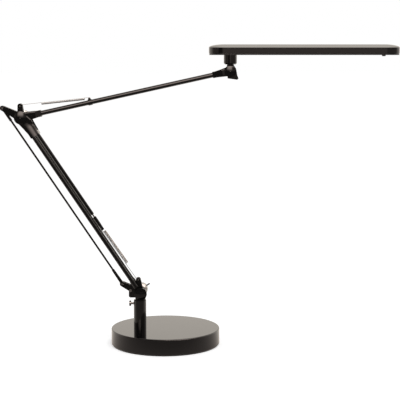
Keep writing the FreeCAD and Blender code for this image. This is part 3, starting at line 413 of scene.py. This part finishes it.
def new_group(name, inputs, outputs):
    """Empty shader node group with named float inputs and outputs."""
    group = bpy.data.node_groups.new(name, "ShaderNodeTree")
    for label, default in inputs.items():
        socket = group.interface.new_socket(label, in_out="INPUT", socket_type="NodeSocketFloat")
        socket.default_value = default
    for label in outputs:
        group.interface.new_socket(label, in_out="OUTPUT", socket_type="NodeSocketFloat")
    return group, group.nodes.new("NodeGroupInput"), group.nodes.new("NodeGroupOutput")


def noise(tree, vector, scale, detail=2.0, roughness=0.5):
    """Soft noise over a place."""
    return add_node(
        tree,
        "ShaderNodeTexNoise",
        {"Vector": vector, "Scale": scale, "Detail": detail, "Roughness": roughness},
    )


def remap(tree, value, from_low, from_high, to_low, to_high):
    """Value carried from one range to another, with soft ends."""
    made = add_node(
        tree,
        "ShaderNodeMapRange",
        {"Value": value, 1: from_low, 2: from_high, 3: to_low, 4: to_high},
        interpolation_type="SMOOTHSTEP",
    )
    return made.outputs["Result"]


def handling_group():
    """Faint smudges and specks of dust, as on a lamp that has been handled."""
    scales = {"Smudge scale": 30.0, "Dust scale": 900.0}
    group, given, out = new_group("handling", scales, ("Smudge", "Dust"))
    place = add_node(group, "ShaderNodeTexCoord").outputs["Object"]
    smudge = noise(group, place, given.outputs["Smudge scale"], detail=3.0, roughness=0.6)
    specks = noise(group, place, given.outputs["Dust scale"], detail=1.0)
    group.links.new(remap(group, smudge.outputs["Fac"], *SMUDGE_FIELD, 0.0, 1.0), out.inputs["Smudge"])
    group.links.new(remap(group, specks.outputs["Fac"], *DUST_FIELD, 0.0, 1.0), out.inputs["Dust"])
    return group


def grain_group():
    """Fine uneven height of a moulded, painted or cast skin."""
    group, given, out = new_group("skin grain", {"Grain scale": 600.0}, ("Height",))
    place = add_node(group, "ShaderNodeTexCoord").outputs["Object"]
    grain = noise(group, place, given.outputs["Grain scale"], detail=2.0)
    group.links.new(grain.outputs["Fac"], out.inputs["Height"])
    return group


def new_material(name):
    """Material with a Principled shader, and its tree."""
    material = bpy.data.materials.new(name)
    material.use_nodes = True
    tree = material.node_tree
    return material, tree, tree.nodes["Principled BSDF"]


def placed_group(tree, name, **values):
    """A shared group with its own values."""
    made = tree.nodes.new("ShaderNodeGroup")
    made.node_tree = bpy.data.node_groups[name]
    for label, value in values.items():
        made.inputs[label.replace("_", " ").capitalize()].default_value = value
    return made


def mixed_colour(tree, share, first, second):
    """Colour between two, by a mask."""
    made = add_node(tree, "ShaderNodeMix", data_type="RGBA")
    tree.links.new(share, made.inputs["Factor"])
    colours = [socket for socket in made.inputs if socket.type == "RGBA"]
    for socket, colour in zip(colours, (first, second)):
        if isinstance(colour, bpy.types.NodeSocket):
            tree.links.new(colour, socket)
        else:
            socket.default_value = (*colour, 1.0)
    return [socket for socket in made.outputs if socket.type == "RGBA"][0]


def skin(name, colour, gloss, smudged, grain_scale, grain_depth):
    """Skin with smudges in its gloss, faint dust in its colour and a fine grain."""
    material, tree, shader = new_material(name)
    marks = placed_group(tree, "handling")
    dusty = tuple(min(1.0, part * DUST_GAIN + DUST_LIFT) for part in colour)
    dusted = mixed_colour(tree, marks.outputs["Dust"], colour, dusty)
    tree.links.new(dusted, shader.inputs["Base Color"])
    roughness = remap(tree, marks.outputs["Smudge"], 0.0, 1.0, gloss, smudged)
    tree.links.new(roughness, shader.inputs["Roughness"])
    grain = placed_group(tree, "skin grain", grain_scale=grain_scale)
    bump = add_node(
        tree,
        "ShaderNodeBump",
        {"Height": grain.outputs["Height"], "Strength": 1.0, "Distance": grain_depth},
    )
    tree.links.new(bump.outputs["Normal"], shader.inputs["Normal"])
    return material


def metal(name, colour, gloss, smudged, grain_scale, grain_depth):
    """Bare or plated metal with the same marks."""
    material = skin(name, colour, gloss, smudged, grain_scale, grain_depth)
    material.node_tree.nodes["Principled BSDF"].inputs["Metallic"].default_value = 1.0
    return material


def finish_nodes(material, *names):
    """Give CAD nodes their material."""
    for name in names:
        for slot in nodes[name].material_slots:
            slot.material = material


def add_object(name, data):
    """New object in the scene."""
    made = bpy.data.objects.new(name, data)
    bpy.context.scene.collection.objects.link(made)
    return made


def applied(source, name):
    """Plain mesh object in place of one with modifiers."""
    evaluated = source.evaluated_get(bpy.context.evaluated_depsgraph_get())
    mesh = bpy.data.meshes.new_from_object(evaluated)
    bpy.data.objects.remove(source)
    mesh.name = name
    return add_object(name, mesh)


def welded(node, distance):
    """Editable copy of a node's shape, with points that meet made one."""
    shape = bmesh.new()
    shape.from_mesh(nodes[node].data)
    bmesh.ops.remove_doubles(shape, verts=shape.verts, dist=distance)
    return shape


def smooth_mesh(name, shape):
    """Mesh of an editable shape, smooth up to its sharp edges."""
    mesh = bpy.data.meshes.new(name)
    shape.to_mesh(mesh)
    shape.free()
    mesh.shade_smooth()
    mesh.set_sharp_from_angle(angle=SHARP_ANGLE)
    return mesh


def path_mesh(name, points):
    """Mesh of edges along a path."""
    mesh = bpy.data.meshes.new(name)
    mesh.from_pydata(points, [(index, index + 1) for index in range(len(points) - 1)], [])
    return mesh


def wire_tree():
    """Geometry nodes that sweep a round wire along a path of edges."""
    tree = bpy.data.node_groups.new("wire along a path", "GeometryNodeTree")
    face = tree.interface
    face.new_socket("Path", in_out="INPUT", socket_type="NodeSocketGeometry")
    face.new_socket("Wire radius", in_out="INPUT", socket_type="NodeSocketFloat")
    face.new_socket("Sides", in_out="INPUT", socket_type="NodeSocketInt")
    face.new_socket("Material", in_out="INPUT", socket_type="NodeSocketMaterial")
    face.new_socket("Wire", in_out="OUTPUT", socket_type="NodeSocketGeometry")
    given = tree.nodes.new("NodeGroupInput").outputs
    out = tree.nodes.new("NodeGroupOutput")
    path = add_node(tree, "GeometryNodeMeshToCurve", {"Mesh": given["Path"]})
    ring = add_node(
        tree,
        "GeometryNodeCurvePrimitiveCircle",
        {"Radius": given["Wire radius"], "Resolution": given["Sides"]},
    )
    swept = add_node(
        tree,
        "GeometryNodeCurveToMesh",
        {"Curve": path.outputs["Curve"], "Profile Curve": ring.outputs["Curve"], "Fill Caps": True},
    )
    smooth = add_node(tree, "GeometryNodeSetShadeSmooth", {"Geometry": swept.outputs["Mesh"]})
    whole = add_node(tree, "GeometryNodeRealizeInstances", {"Geometry": smooth.outputs["Geometry"]})
    dressed = add_node(
        tree,
        "GeometryNodeSetMaterial",
        {"Geometry": whole.outputs["Geometry"], "Material": given["Material"]},
    )
    tree.links.new(dressed.outputs["Geometry"], out.inputs["Wire"])
    return tree


def grown(name, tree, mesh, sizes):
    """Plain mesh object that a node tree makes from a mesh."""
    source = add_object(name + ".source", mesh)
    modifier = source.modifiers.new("nodes", "NODES")
    modifier.node_group = tree
    for item in tree.interface.items_tree:
        if item.item_type == "SOCKET" and item.in_out == "INPUT" and item.name in sizes:
            modifier[item.identifier] = sizes[item.name]
    return applied(source, name)


def spring_paths(length, coil, loop, start, end, turns):
    """Points of a tension spring along X between two pins.

    The first path is the long bottom hook, the second is the coil with the top hook.
    """
    bend = 1.0 * MM
    coil_steps = 18
    bend_steps = 6
    shank_steps = 9
    loop_steps = 27
    loop_degrees = 270
    axis = loop - coil
    bend_turns = [math.radians(90 * index / bend_steps) for index in range(1, bend_steps)]
    loop_turns = [loop_degrees * index / loop_steps for index in range(loop_steps + 1)]
    hook = []
    for degrees in loop_turns:
        turn = math.radians(360 - degrees)
        hook.append((loop * math.cos(turn), bend, loop * math.sin(turn)))
    for index in range(1, shank_steps):
        hook.append(((start - bend) * index / shank_steps, bend, loop))
    for turn in bend_turns:
        hook.append((start - bend + bend * math.sin(turn), bend * math.cos(turn), loop))
    hook.append((start, 0, loop))
    winding = []
    count = turns * coil_steps
    for index in range(count + 1):
        turn = 2 * math.pi * index / coil_steps
        along = start + (end - start) * index / count
        winding.append((along, -coil * math.sin(turn), axis + coil * math.cos(turn)))
    for turn in bend_turns:
        winding.append((end + bend - bend * math.cos(turn), -bend * math.sin(turn), loop))
    winding.append((end + bend, -bend, loop))
    for degrees in loop_turns:
        turn = math.radians(90 - degrees)
        winding.append((length + loop * math.cos(turn), -bend, loop * math.sin(turn)))
    return hook, winding


def run_frame(bottom, top):
    """Matrix with its X from bottom to top and its Z to the left of it, seen from the front."""
    ahead = (top - bottom).normalized()
    across = Vector((0, 1, 0))
    left = Vector((-ahead.z, 0, ahead.x))
    turn = Matrix((ahead, across, left)).transposed().to_4x4()
    return Matrix.Translation(bottom) @ turn


class LAMP_OT_springs(bpy.types.Operator):
    """Wind the two tension springs between their pins"""

    bl_idname = "lamp.springs"
    bl_label = "Springs"

    def execute(self, context):
        sizes = context.scene.lamp_springs
        finish = context.scene.lamp_finish
        steel = metal(
            "drawn spring wire",
            tuple(finish.spring_steel),
            gloss=0.2,
            smudged=0.34,
            grain_scale=900.0,
            grain_depth=0.02 * MM,
        )
        finish_nodes(steel, "lower_spring", "upper_spring")
        tree = wire_tree()
        lower = ("lower_spring", "swivel", "lower_arm", "lower_spring_pin", "anchor_pin")
        upper = ("upper_spring", "elbow", "upper_arm", "elbow_spring_pin", "clip_pin")
        lower_winding = (sizes.lower_coil, sizes.lower_wire, sizes.lower_turns, sizes.lower_hooks)
        upper_winding = (sizes.upper_coil, sizes.upper_wire, sizes.upper_turns, sizes.upper_hooks)
        self.wind(tree, steel, sizes, lower, lower_winding, LOWER_SPANS)
        self.wind(tree, steel, sizes, upper, upper_winding, UPPER_SPANS)
        return {"FINISHED"}

    def wind(self, tree, steel, sizes, place, winding, spans):
        """Make one spring's hook and coil, which stretch between two bodies."""
        name, low_body, high_body, low_pin, high_pin = place
        coil, wire, turns, hooks = winding
        bottom = middle_of(low_pin)
        top = middle_of(high_pin)
        length = (top - bottom).length
        loop = sizes.pin_radius + wire + sizes.hook_clearance
        frame_of_run = run_frame(bottom, top)
        paths = spring_paths(length, coil, loop, hooks[0], length - hooks[1], turns)
        for part, path, span in zip(("hook", "coil"), paths, spans):
            points = [frame_of_run @ Vector(point) for point in path]
            piece = grown(
                name + "_" + part,
                tree,
                path_mesh(name + "_path", points),
                {"Wire radius": wire, "Sides": sizes.wire_sides, "Material": steel},
            )
            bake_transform(piece)
            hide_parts(name)


def fork_frame(joint, arm_angle):
    """Matrix at a joint with its X along the arm and its Y to the back."""
    return Matrix.Translation(joint_point(joint)) @ Matrix.Rotation(-arm_angle, 4, "Y")


def eased(value, low, high):
    """Share from 0 to 1 between two limits, with soft ends."""
    share = min(1.0, max(0.0, (value - low) / (high - low)))
    return share * share * (3.0 - 2.0 * share)


def crowned(node, place, edges):
    """Copy of a fork whose flat cheeks are rounded over across the arm, beyond the pivot's cap."""
    half_height = edges.fork_half_height
    rows = 6
    # Along the arm, in millimetres from the pivot.
    cap_end = 12
    full_crown = 20
    cut_end = 40
    cut_step = 2
    slot_run = 8.0 * MM
    cheek_depth = 2.6 * MM
    same_point = 0.01 * MM
    on_plane = 0.001 * MM
    shape = welded(node, same_point)
    bmesh.ops.transform(shape, matrix=place.inverted(), verts=shape.verts)
    cuts = [((0, 0, half_height * index / rows), (0, 0, 1)) for index in range(-rows, rows + 1)]
    cuts += [((along * MM, 0, 0), (1, 0, 0)) for along in range(cap_end, cut_end, cut_step)]
    for point, normal in cuts:
        everything = shape.verts[:] + shape.edges[:] + shape.faces[:]
        bmesh.ops.bisect_plane(shape, geom=everything, plane_co=point, plane_no=normal, dist=on_plane)
    for vert in shape.verts:
        along, across, up = vert.co
        past_slot = eased(along, edges.fork_slot, edges.fork_slot + slot_run)
        inner = edges.fork_cheek * (1.0 - past_slot)
        share = min(1.0, max(0.0, (abs(across) - inner) / cheek_depth))
        past_cap = eased(along, cap_end * MM, full_crown * MM)
        drop = edges.fork_crown * past_cap * min(1.0, (up / half_height) ** 2)
        vert.co.y -= math.copysign(drop * share, across)
    bmesh.ops.transform(shape, matrix=place, verts=shape.verts)
    bmesh.ops.recalc_face_normals(shape, faces=shape.faces)
    return add_object(node + "_crowned", smooth_mesh(node + "_crowned", shape))


def softened(node, edge):
    """Copy of a node with its sharp edges broken by a small round."""
    same_point = 0.005 * MM
    flat_angle = math.radians(0.5)
    edge_angle = math.radians(40)
    shape = welded(node, same_point)
    bmesh.ops.dissolve_limit(
        shape,
        angle_limit=flat_angle,
        verts=shape.verts,
        edges=shape.edges,
        use_dissolve_boundaries=False,
    )
    source = add_object(node + ".source", smooth_mesh(node + "_soft", shape))
    bevel = source.modifiers.new("soft edges", "BEVEL")
    bevel.width = edge
    bevel.segments = 2
    bevel.limit_method = "ANGLE"
    bevel.angle_limit = edge_angle
    bevel.harden_normals = True
    return applied(source, node + "_soft")


class LAMP_OT_plates(bpy.types.Operator):
    """Break the sharp edges of the plates and knuckles"""

    bl_idname = "lamp.plates"
    bl_label = "Plates and knuckles"

    def execute(self, context):
        edges = context.scene.lamp_edges
        enamel = bpy.data.materials["black enamel"]
        for body, names in (
            ("swivel", ("swivel_plate_front", "swivel_plate_rear", "swivel_knuckle")),
            ("elbow", ("elbow_plate_front", "elbow_plate_rear")),
            ("head_knuckle", ("head_knuckle",)),
        ):
            for node in names:
                piece = softened(node, edges.plate_edge)
                piece.data.materials.append(enamel)
                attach(piece, body)
                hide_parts(node)
        return {"FINISHED"}


class LAMP_OT_elbow_fork(bpy.types.Operator):
    """Round over the cheeks of the fork at the elbow"""

    bl_idname = "lamp.elbow_fork"
    bl_label = "Elbow fork"

    def execute(self, context):
        edges = context.scene.lamp_edges
        piece = crowned("elbow_fork", fork_frame("upper_arm_tilt", edges.fork_angle), edges)
        piece.data.materials.append(bpy.data.materials["black enamel"])
        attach(piece, "lower_arm")
        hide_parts("elbow_fork")
        return {"FINISHED"}


class LAMP_OT_black_pieces(bpy.types.Operator):
    """Finish the gloss, enamel and satin black pieces"""

    bl_idname = "lamp.black_pieces"
    bl_label = "Black pieces"

    def execute(self, context):
        finish = context.scene.lamp_finish
        polished = skin(
            "polished black",
            tuple(finish.gloss_black),
            gloss=0.035,
            smudged=0.07,
            grain_scale=350.0,
            grain_depth=0.004 * MM,
        )
        finish_nodes(
            polished,
            "base_shell",
            "head_housing",
            "head_collar",
            "lower_pivot_cap",
            "elbow_cap",
            "head_pivot_cap",
            "head_clamp_knob",
            "button",
        )
        enamel = skin(
            "black enamel",
            tuple(finish.enamel_black),
            gloss=0.07,
            smudged=0.13,
            grain_scale=700.0,
            grain_depth=0.01 * MM,
        )
        finish_nodes(
            enamel,
            "post",
            "swivel_knuckle",
            "swivel_plate_front",
            "swivel_plate_rear",
            "lower_arm_eye_front",
            "lower_arm_eye_rear",
            "lower_arm_tube_front",
            "lower_arm_tube_rear",
            "elbow_fork",
            "spring_sleeve",
            "spring_anchor",
            "link_rod",
            "link_lower_end",
            "link_upper_end",
            "elbow_plate_front",
            "elbow_plate_rear",
            "upper_arm_fork",
            "upper_arm_tube",
            "head_fork",
            "spring_clip",
            "head_knuckle",
            "tommy_bar",
        )
        satin = skin(
            "satin black",
            tuple(finish.satin_black),
            gloss=0.3,
            smudged=0.38,
            grain_scale=1500.0,
            grain_depth=0.03 * MM,
        )
        finish_nodes(satin, "head_bezel", "power_inlet", "push_switch")
        return {"FINISHED"}


class LAMP_OT_bright_pieces(bpy.types.Operator):
    """Finish the plated pins and screws and the turned knobs"""

    bl_idname = "lamp.bright_pieces"
    bl_label = "Bright pieces"

    def execute(self, context):
        finish = context.scene.lamp_finish
        zinc = metal(
            "bright zinc",
            tuple(finish.zinc),
            gloss=0.18,
            smudged=0.3,
            grain_scale=800.0,
            grain_depth=0.02 * MM,
        )
        finish_nodes(
            zinc,
            "wing_screw",
            "heel_screw",
            "lower_link_pin",
            "lower_spring_pin",
            "elbow_link_pin",
            "elbow_spring_pin",
            "anchor_pin",
            "clip_pin",
            "spring_rod",
            "lower_pivot_bolt",
            "elbow_pivot_bolt",
            "head_pivot_bolt",
            "elbow_spacer",
            "base_screws",
            "post_nut",
            "swivel_retainer",
            "head_screws",
        )
        silver = metal(
            "satin silver",
            tuple(finish.satin_silver),
            gloss=0.26,
            smudged=0.36,
            grain_scale=500.0,
            grain_depth=0.02 * MM,
        )
        finish_nodes(silver, "lower_clamp_knob", "elbow_clamp_knob")
        return {"FINISHED"}


class LAMP_OT_inner_pieces(bpy.types.Operator):
    """Finish the ballast, the pad, the light window and the boards"""

    bl_idname = "lamp.inner_pieces"
    bl_label = "Inner pieces"

    def execute(self, context):
        finish = context.scene.lamp_finish
        # Node, its finish, colour, roughness clean and smudged, scale of the grain, its depth in mm.
        for node, name, colour, gloss, smudged, grain_scale, grain_depth in (
            ("base_ballast", "cast iron", finish.cast_iron, 0.5, 0.7, 400.0, 0.1),
            ("base_pad", "pad rubber", finish.rubber, 0.6, 0.75, 1200.0, 0.06),
            ("diffuser", "milky window", finish.diffuser, 0.3, 0.4, 1800.0, 0.03),
            ("led_board", "white board", finish.white_board, 0.35, 0.5, 900.0, 0.02),
            ("leds", "phosphor", finish.phosphor, 0.3, 0.4, 900.0, 0.02),
            ("driver_board", "green board", finish.green_board, 0.3, 0.45, 900.0, 0.02),
        ):
            depth = grain_depth * MM
            finish_nodes(skin(name, tuple(colour), gloss, smudged, grain_scale, depth), node)
        return {"FINISHED"}


def floor_material(stage):
    """Pale floor, white to the camera with the lamp's shadow, darker in front of the lamp in gloss."""
    material, tree, shader = new_material("pale floor")
    shader.inputs["Base Color"].default_value = (*stage.floor_colour, 1.0)
    shader.inputs["Roughness"].default_value = 0.9
    shader.inputs["Specular IOR Level"].default_value = 0.0
    rays = add_node(tree, "ShaderNodeLightPath").outputs
    lift = add_node(
        tree,
        "ShaderNodeMath",
        {0: rays["Is Camera Ray"], 1: stage.floor_lift},
        operation="MULTIPLY",
    )
    shader.inputs["Emission Color"].default_value = (*WHITE, 1.0)
    tree.links.new(lift.outputs[0], shader.inputs["Emission Strength"])
    place = add_node(tree, "ShaderNodeNewGeometry").outputs["Position"]
    depth = add_node(tree, "ShaderNodeSeparateXYZ", {0: place}).outputs["Y"]
    level = remap(tree, depth, *FLOOR_FRONT, stage.floor_far, stage.floor_near)
    behind = remap(tree, depth, *FLOOR_BACK, 0.0, 1.0)
    level = add_node(tree, "ShaderNodeMix", {"Factor": behind, "A": level, "B": stage.back_level})
    tint = mixed_colour(tree, behind, tuple(stage.gloss_tint), tuple(stage.back_tint))
    seen = add_node(tree, "ShaderNodeEmission", {"Color": tint, "Strength": level.outputs["Result"]})
    both = add_node(
        tree,
        "ShaderNodeMixShader",
        {0: rays["Is Glossy Ray"], 1: shader.outputs["BSDF"], 2: seen.outputs["Emission"]},
    )
    tree.links.new(both.outputs["Shader"], tree.nodes["Material Output"].inputs["Surface"])
    return material


def band(tree, value, low, high, soft):
    """Mask that is 1 between two limits."""
    rising = remap(tree, value, low - soft, low + soft, 0.0, 1.0)
    falling = remap(tree, value, high - soft, high + soft, 1.0, 0.0)
    return add_node(tree, "ShaderNodeMath", {0: rising, 1: falling}, operation="MULTIPLY").outputs[0]


def product_sum(tree, first, second, third):
    """First times second plus third."""
    made = add_node(tree, "ShaderNodeMath", {0: first, 1: second, 2: third}, operation="MULTIPLY_ADD")
    return made.outputs[0]


def gloss_level(tree, stage):
    """Level and tint of the room in gloss: white behind, dim in front, softboxes overhead."""
    heading = add_node(tree, "ShaderNodeTexCoord").outputs["Generated"]
    parts = add_node(tree, "ShaderNodeSeparateXYZ", {0: heading}).outputs
    level_only = (1.0, 1.0, 0.0)
    flat = add_node(
        tree, "ShaderNodeVectorMath", {0: heading, 1: level_only}, operation="MULTIPLY"
    )
    flat = add_node(tree, "ShaderNodeVectorMath", {0: flat.outputs[0]}, operation="NORMALIZE")
    side = add_node(tree, "ShaderNodeSeparateXYZ", {0: flat.outputs[0]}).outputs["X"]
    strip = band(tree, side, *STRIP_SIDES, FIELD_EDGE)
    window = band(tree, side, *WINDOW_SIDES, FIELD_EDGE)
    level = product_sum(tree, strip, -stage.strip_depth, stage.front_level)
    level = product_sum(tree, window, stage.window_level, level)
    overhead = band(tree, side, *OVERHEAD_SIDES, OVERHEAD_EDGE)
    overhead_light = remap(tree, parts["Z"], *OVERHEAD_RISE, 0.0, stage.overhead_level)
    level = product_sum(tree, overhead, overhead_light, level)
    right = remap(tree, side, *RIGHT_BOX_SIDES, 0.0, stage.box_level)
    high = remap(tree, parts["Z"], *RIGHT_BOX_RISE, 0.0, 1.0)
    level = product_sum(tree, high, right, level)
    behind = remap(tree, parts["Y"], *BEHIND_REACH, 0.0, 1.0)
    made = add_node(tree, "ShaderNodeMix", {"Factor": behind, "A": level, "B": stage.back_level})
    tint = mixed_colour(tree, behind, tuple(stage.gloss_tint), tuple(stage.back_tint))
    return made.outputs["Result"], tint


def studio_world(stage):
    """White surround: plain white to the camera, a dim warm room with softboxes in gloss."""
    world = bpy.data.worlds.new("white surround")
    world.use_nodes = True
    tree = world.node_tree
    tree.nodes.clear()
    rays = add_node(tree, "ShaderNodeLightPath").outputs
    gloss, gloss_tint = gloss_level(tree, stage)
    unseen = add_node(
        tree,
        "ShaderNodeMix",
        {"Factor": rays["Is Glossy Ray"], "A": stage.surround_light, "B": gloss},
    )
    level = add_node(
        tree,
        "ShaderNodeMix",
        {"Factor": rays["Is Camera Ray"], "A": unseen.outputs["Result"], "B": 1.0},
    )
    tint = mixed_colour(tree, rays["Is Glossy Ray"], WHITE, gloss_tint)
    light = add_node(tree, "ShaderNodeBackground", {"Color": tint, "Strength": level.outputs["Result"]})
    add_node(tree, "ShaderNodeOutputWorld", {"Surface": light.outputs["Background"]})
    return world


def flat_sheet(name, corners, material):
    """Flat sheet with four corners."""
    mesh = bpy.data.meshes.new(name)
    mesh.from_pydata(corners, [], [(0, 1, 2, 3)])
    mesh.materials.append(material)
    return add_object(name, mesh)


def pale_floor(stage):
    """Wide floor under the lamp."""
    reach = stage.floor_reach
    corners = [(-reach, -reach, 0), (reach, -reach, 0), (reach, reach, 0), (-reach, reach, 0)]
    floor = flat_sheet("floor", corners, floor_material(stage))


def dark_card(stage):
    """Dark card in front of the lower arm that only gloss sees."""
    left, front, low = stage.card_low
    right = left + stage.card_size[0]
    top = low + stage.card_size[1]
    corners = [(left, front, low), (right, front, low), (right, front, top), (left, front, top)]
    material, _, shader = new_material("dark card")
    shader.inputs["Base Color"].default_value = (0.0, 0.0, 0.0, 1.0)
    shader.inputs["Specular IOR Level"].default_value = 0.0
    shader.inputs["Emission Color"].default_value = (*stage.gloss_tint, 1.0)
    shader.inputs["Emission Strength"].default_value = stage.card_level
    card = flat_sheet("dark card", corners, material)
    card.visible_camera = False
    card.visible_diffuse = False
    card.visible_shadow = False
    card.visible_transmission = False


def softbox(stage):
    """Square light over the lamp, which dull surfaces see."""
    light = bpy.data.lights.new("softbox", "AREA")
    light.shape = "SQUARE"
    light.size = stage.box_size
    light.energy = stage.box_power
    box = add_object("softbox", light)
    box.location = stage.box_place
    aim = Vector(stage.box_aim) - Vector(stage.box_place)
    box.rotation_euler = aim.to_track_quat("-Z", "Y").to_euler()
    box.visible_camera = False
    box.visible_glossy = False


def photo_camera(stage):
    """Camera that sees the lamp as the photo does."""
    lens = bpy.data.cameras.new("photo camera")
    lens.lens = stage.camera_lens
    lens.clip_end = stage.camera_reach
    camera = add_object("photo camera", lens)
    camera.location = stage.camera_place
    camera.rotation_euler = (math.pi / 2 - stage.camera_pitch, 0.0, 0.0)
    return camera


class LAMP_OT_stage(bpy.types.Operator):
    """Set the floor, the light and the camera"""

    bl_idname = "lamp.stage"
    bl_label = "Stage"

    def execute(self, context):
        scene = context.scene
        stage = scene.lamp_stage
        scene.view_settings.view_transform = "Standard"
        scene.world = studio_world(stage)
        pale_floor(stage)
        dark_card(stage)
        softbox(stage)
        scene.camera = photo_camera(stage)
        return {"FINISHED"}


class LAMP_PT_sidebar(bpy.types.Panel):
    """Lists the lamp's pieces and their sizes and colours"""

    bl_label = "Desk lamp"
    bl_idname = "LAMP_PT_sidebar"
    bl_space_type = "VIEW_3D"
    bl_region_type = "UI"
    bl_category = "Desk lamp"

    def draw(self, context):
        """Show a button for each step, then the settings."""
        scene = context.scene
        for operator in operators:
            self.layout.operator(operator.bl_idname)
        for settings in (scene.lamp_stage, scene.lamp_finish, scene.lamp_springs, scene.lamp_edges):
            for key in settings.__annotations__:
                self.layout.prop(settings, key)


operators = (
    LAMP_OT_stage,
    LAMP_OT_black_pieces,
    LAMP_OT_bright_pieces,
    LAMP_OT_inner_pieces,
    LAMP_OT_plates,
    LAMP_OT_elbow_fork,
    LAMP_OT_springs,
)
classes = (LampStage, LampFinish, LampSprings, LampEdges) + operators + (LAMP_PT_sidebar,)


def register():
    """Make the steps and the settings known."""
    for each in classes:
        bpy.utils.register_class(each)
    bpy.types.Scene.lamp_stage = PointerProperty(type=LampStage)
    bpy.types.Scene.lamp_finish = PointerProperty(type=LampFinish)
    bpy.types.Scene.lamp_springs = PointerProperty(type=LampSprings)
    bpy.types.Scene.lamp_edges = PointerProperty(type=LampEdges)


def unregister():
    """Take the steps and the settings away again."""
    del bpy.types.Scene.lamp_edges
    del bpy.types.Scene.lamp_springs
    del bpy.types.Scene.lamp_finish
    del bpy.types.Scene.lamp_stage
    for each in reversed(classes):
        bpy.utils.unregister_class(each)


def main():
    """Stage and finish the lamp."""
    register()
    handling_group()
    grain_group()
    bpy.ops.lamp.stage()
    bpy.ops.lamp.black_pieces()
    bpy.ops.lamp.bright_pieces()
    bpy.ops.lamp.inner_pieces()
    bpy.ops.lamp.plates()
    bpy.ops.lamp.elbow_fork()
    bpy.ops.lamp.springs()


if __name__ == "__main__":
    main()
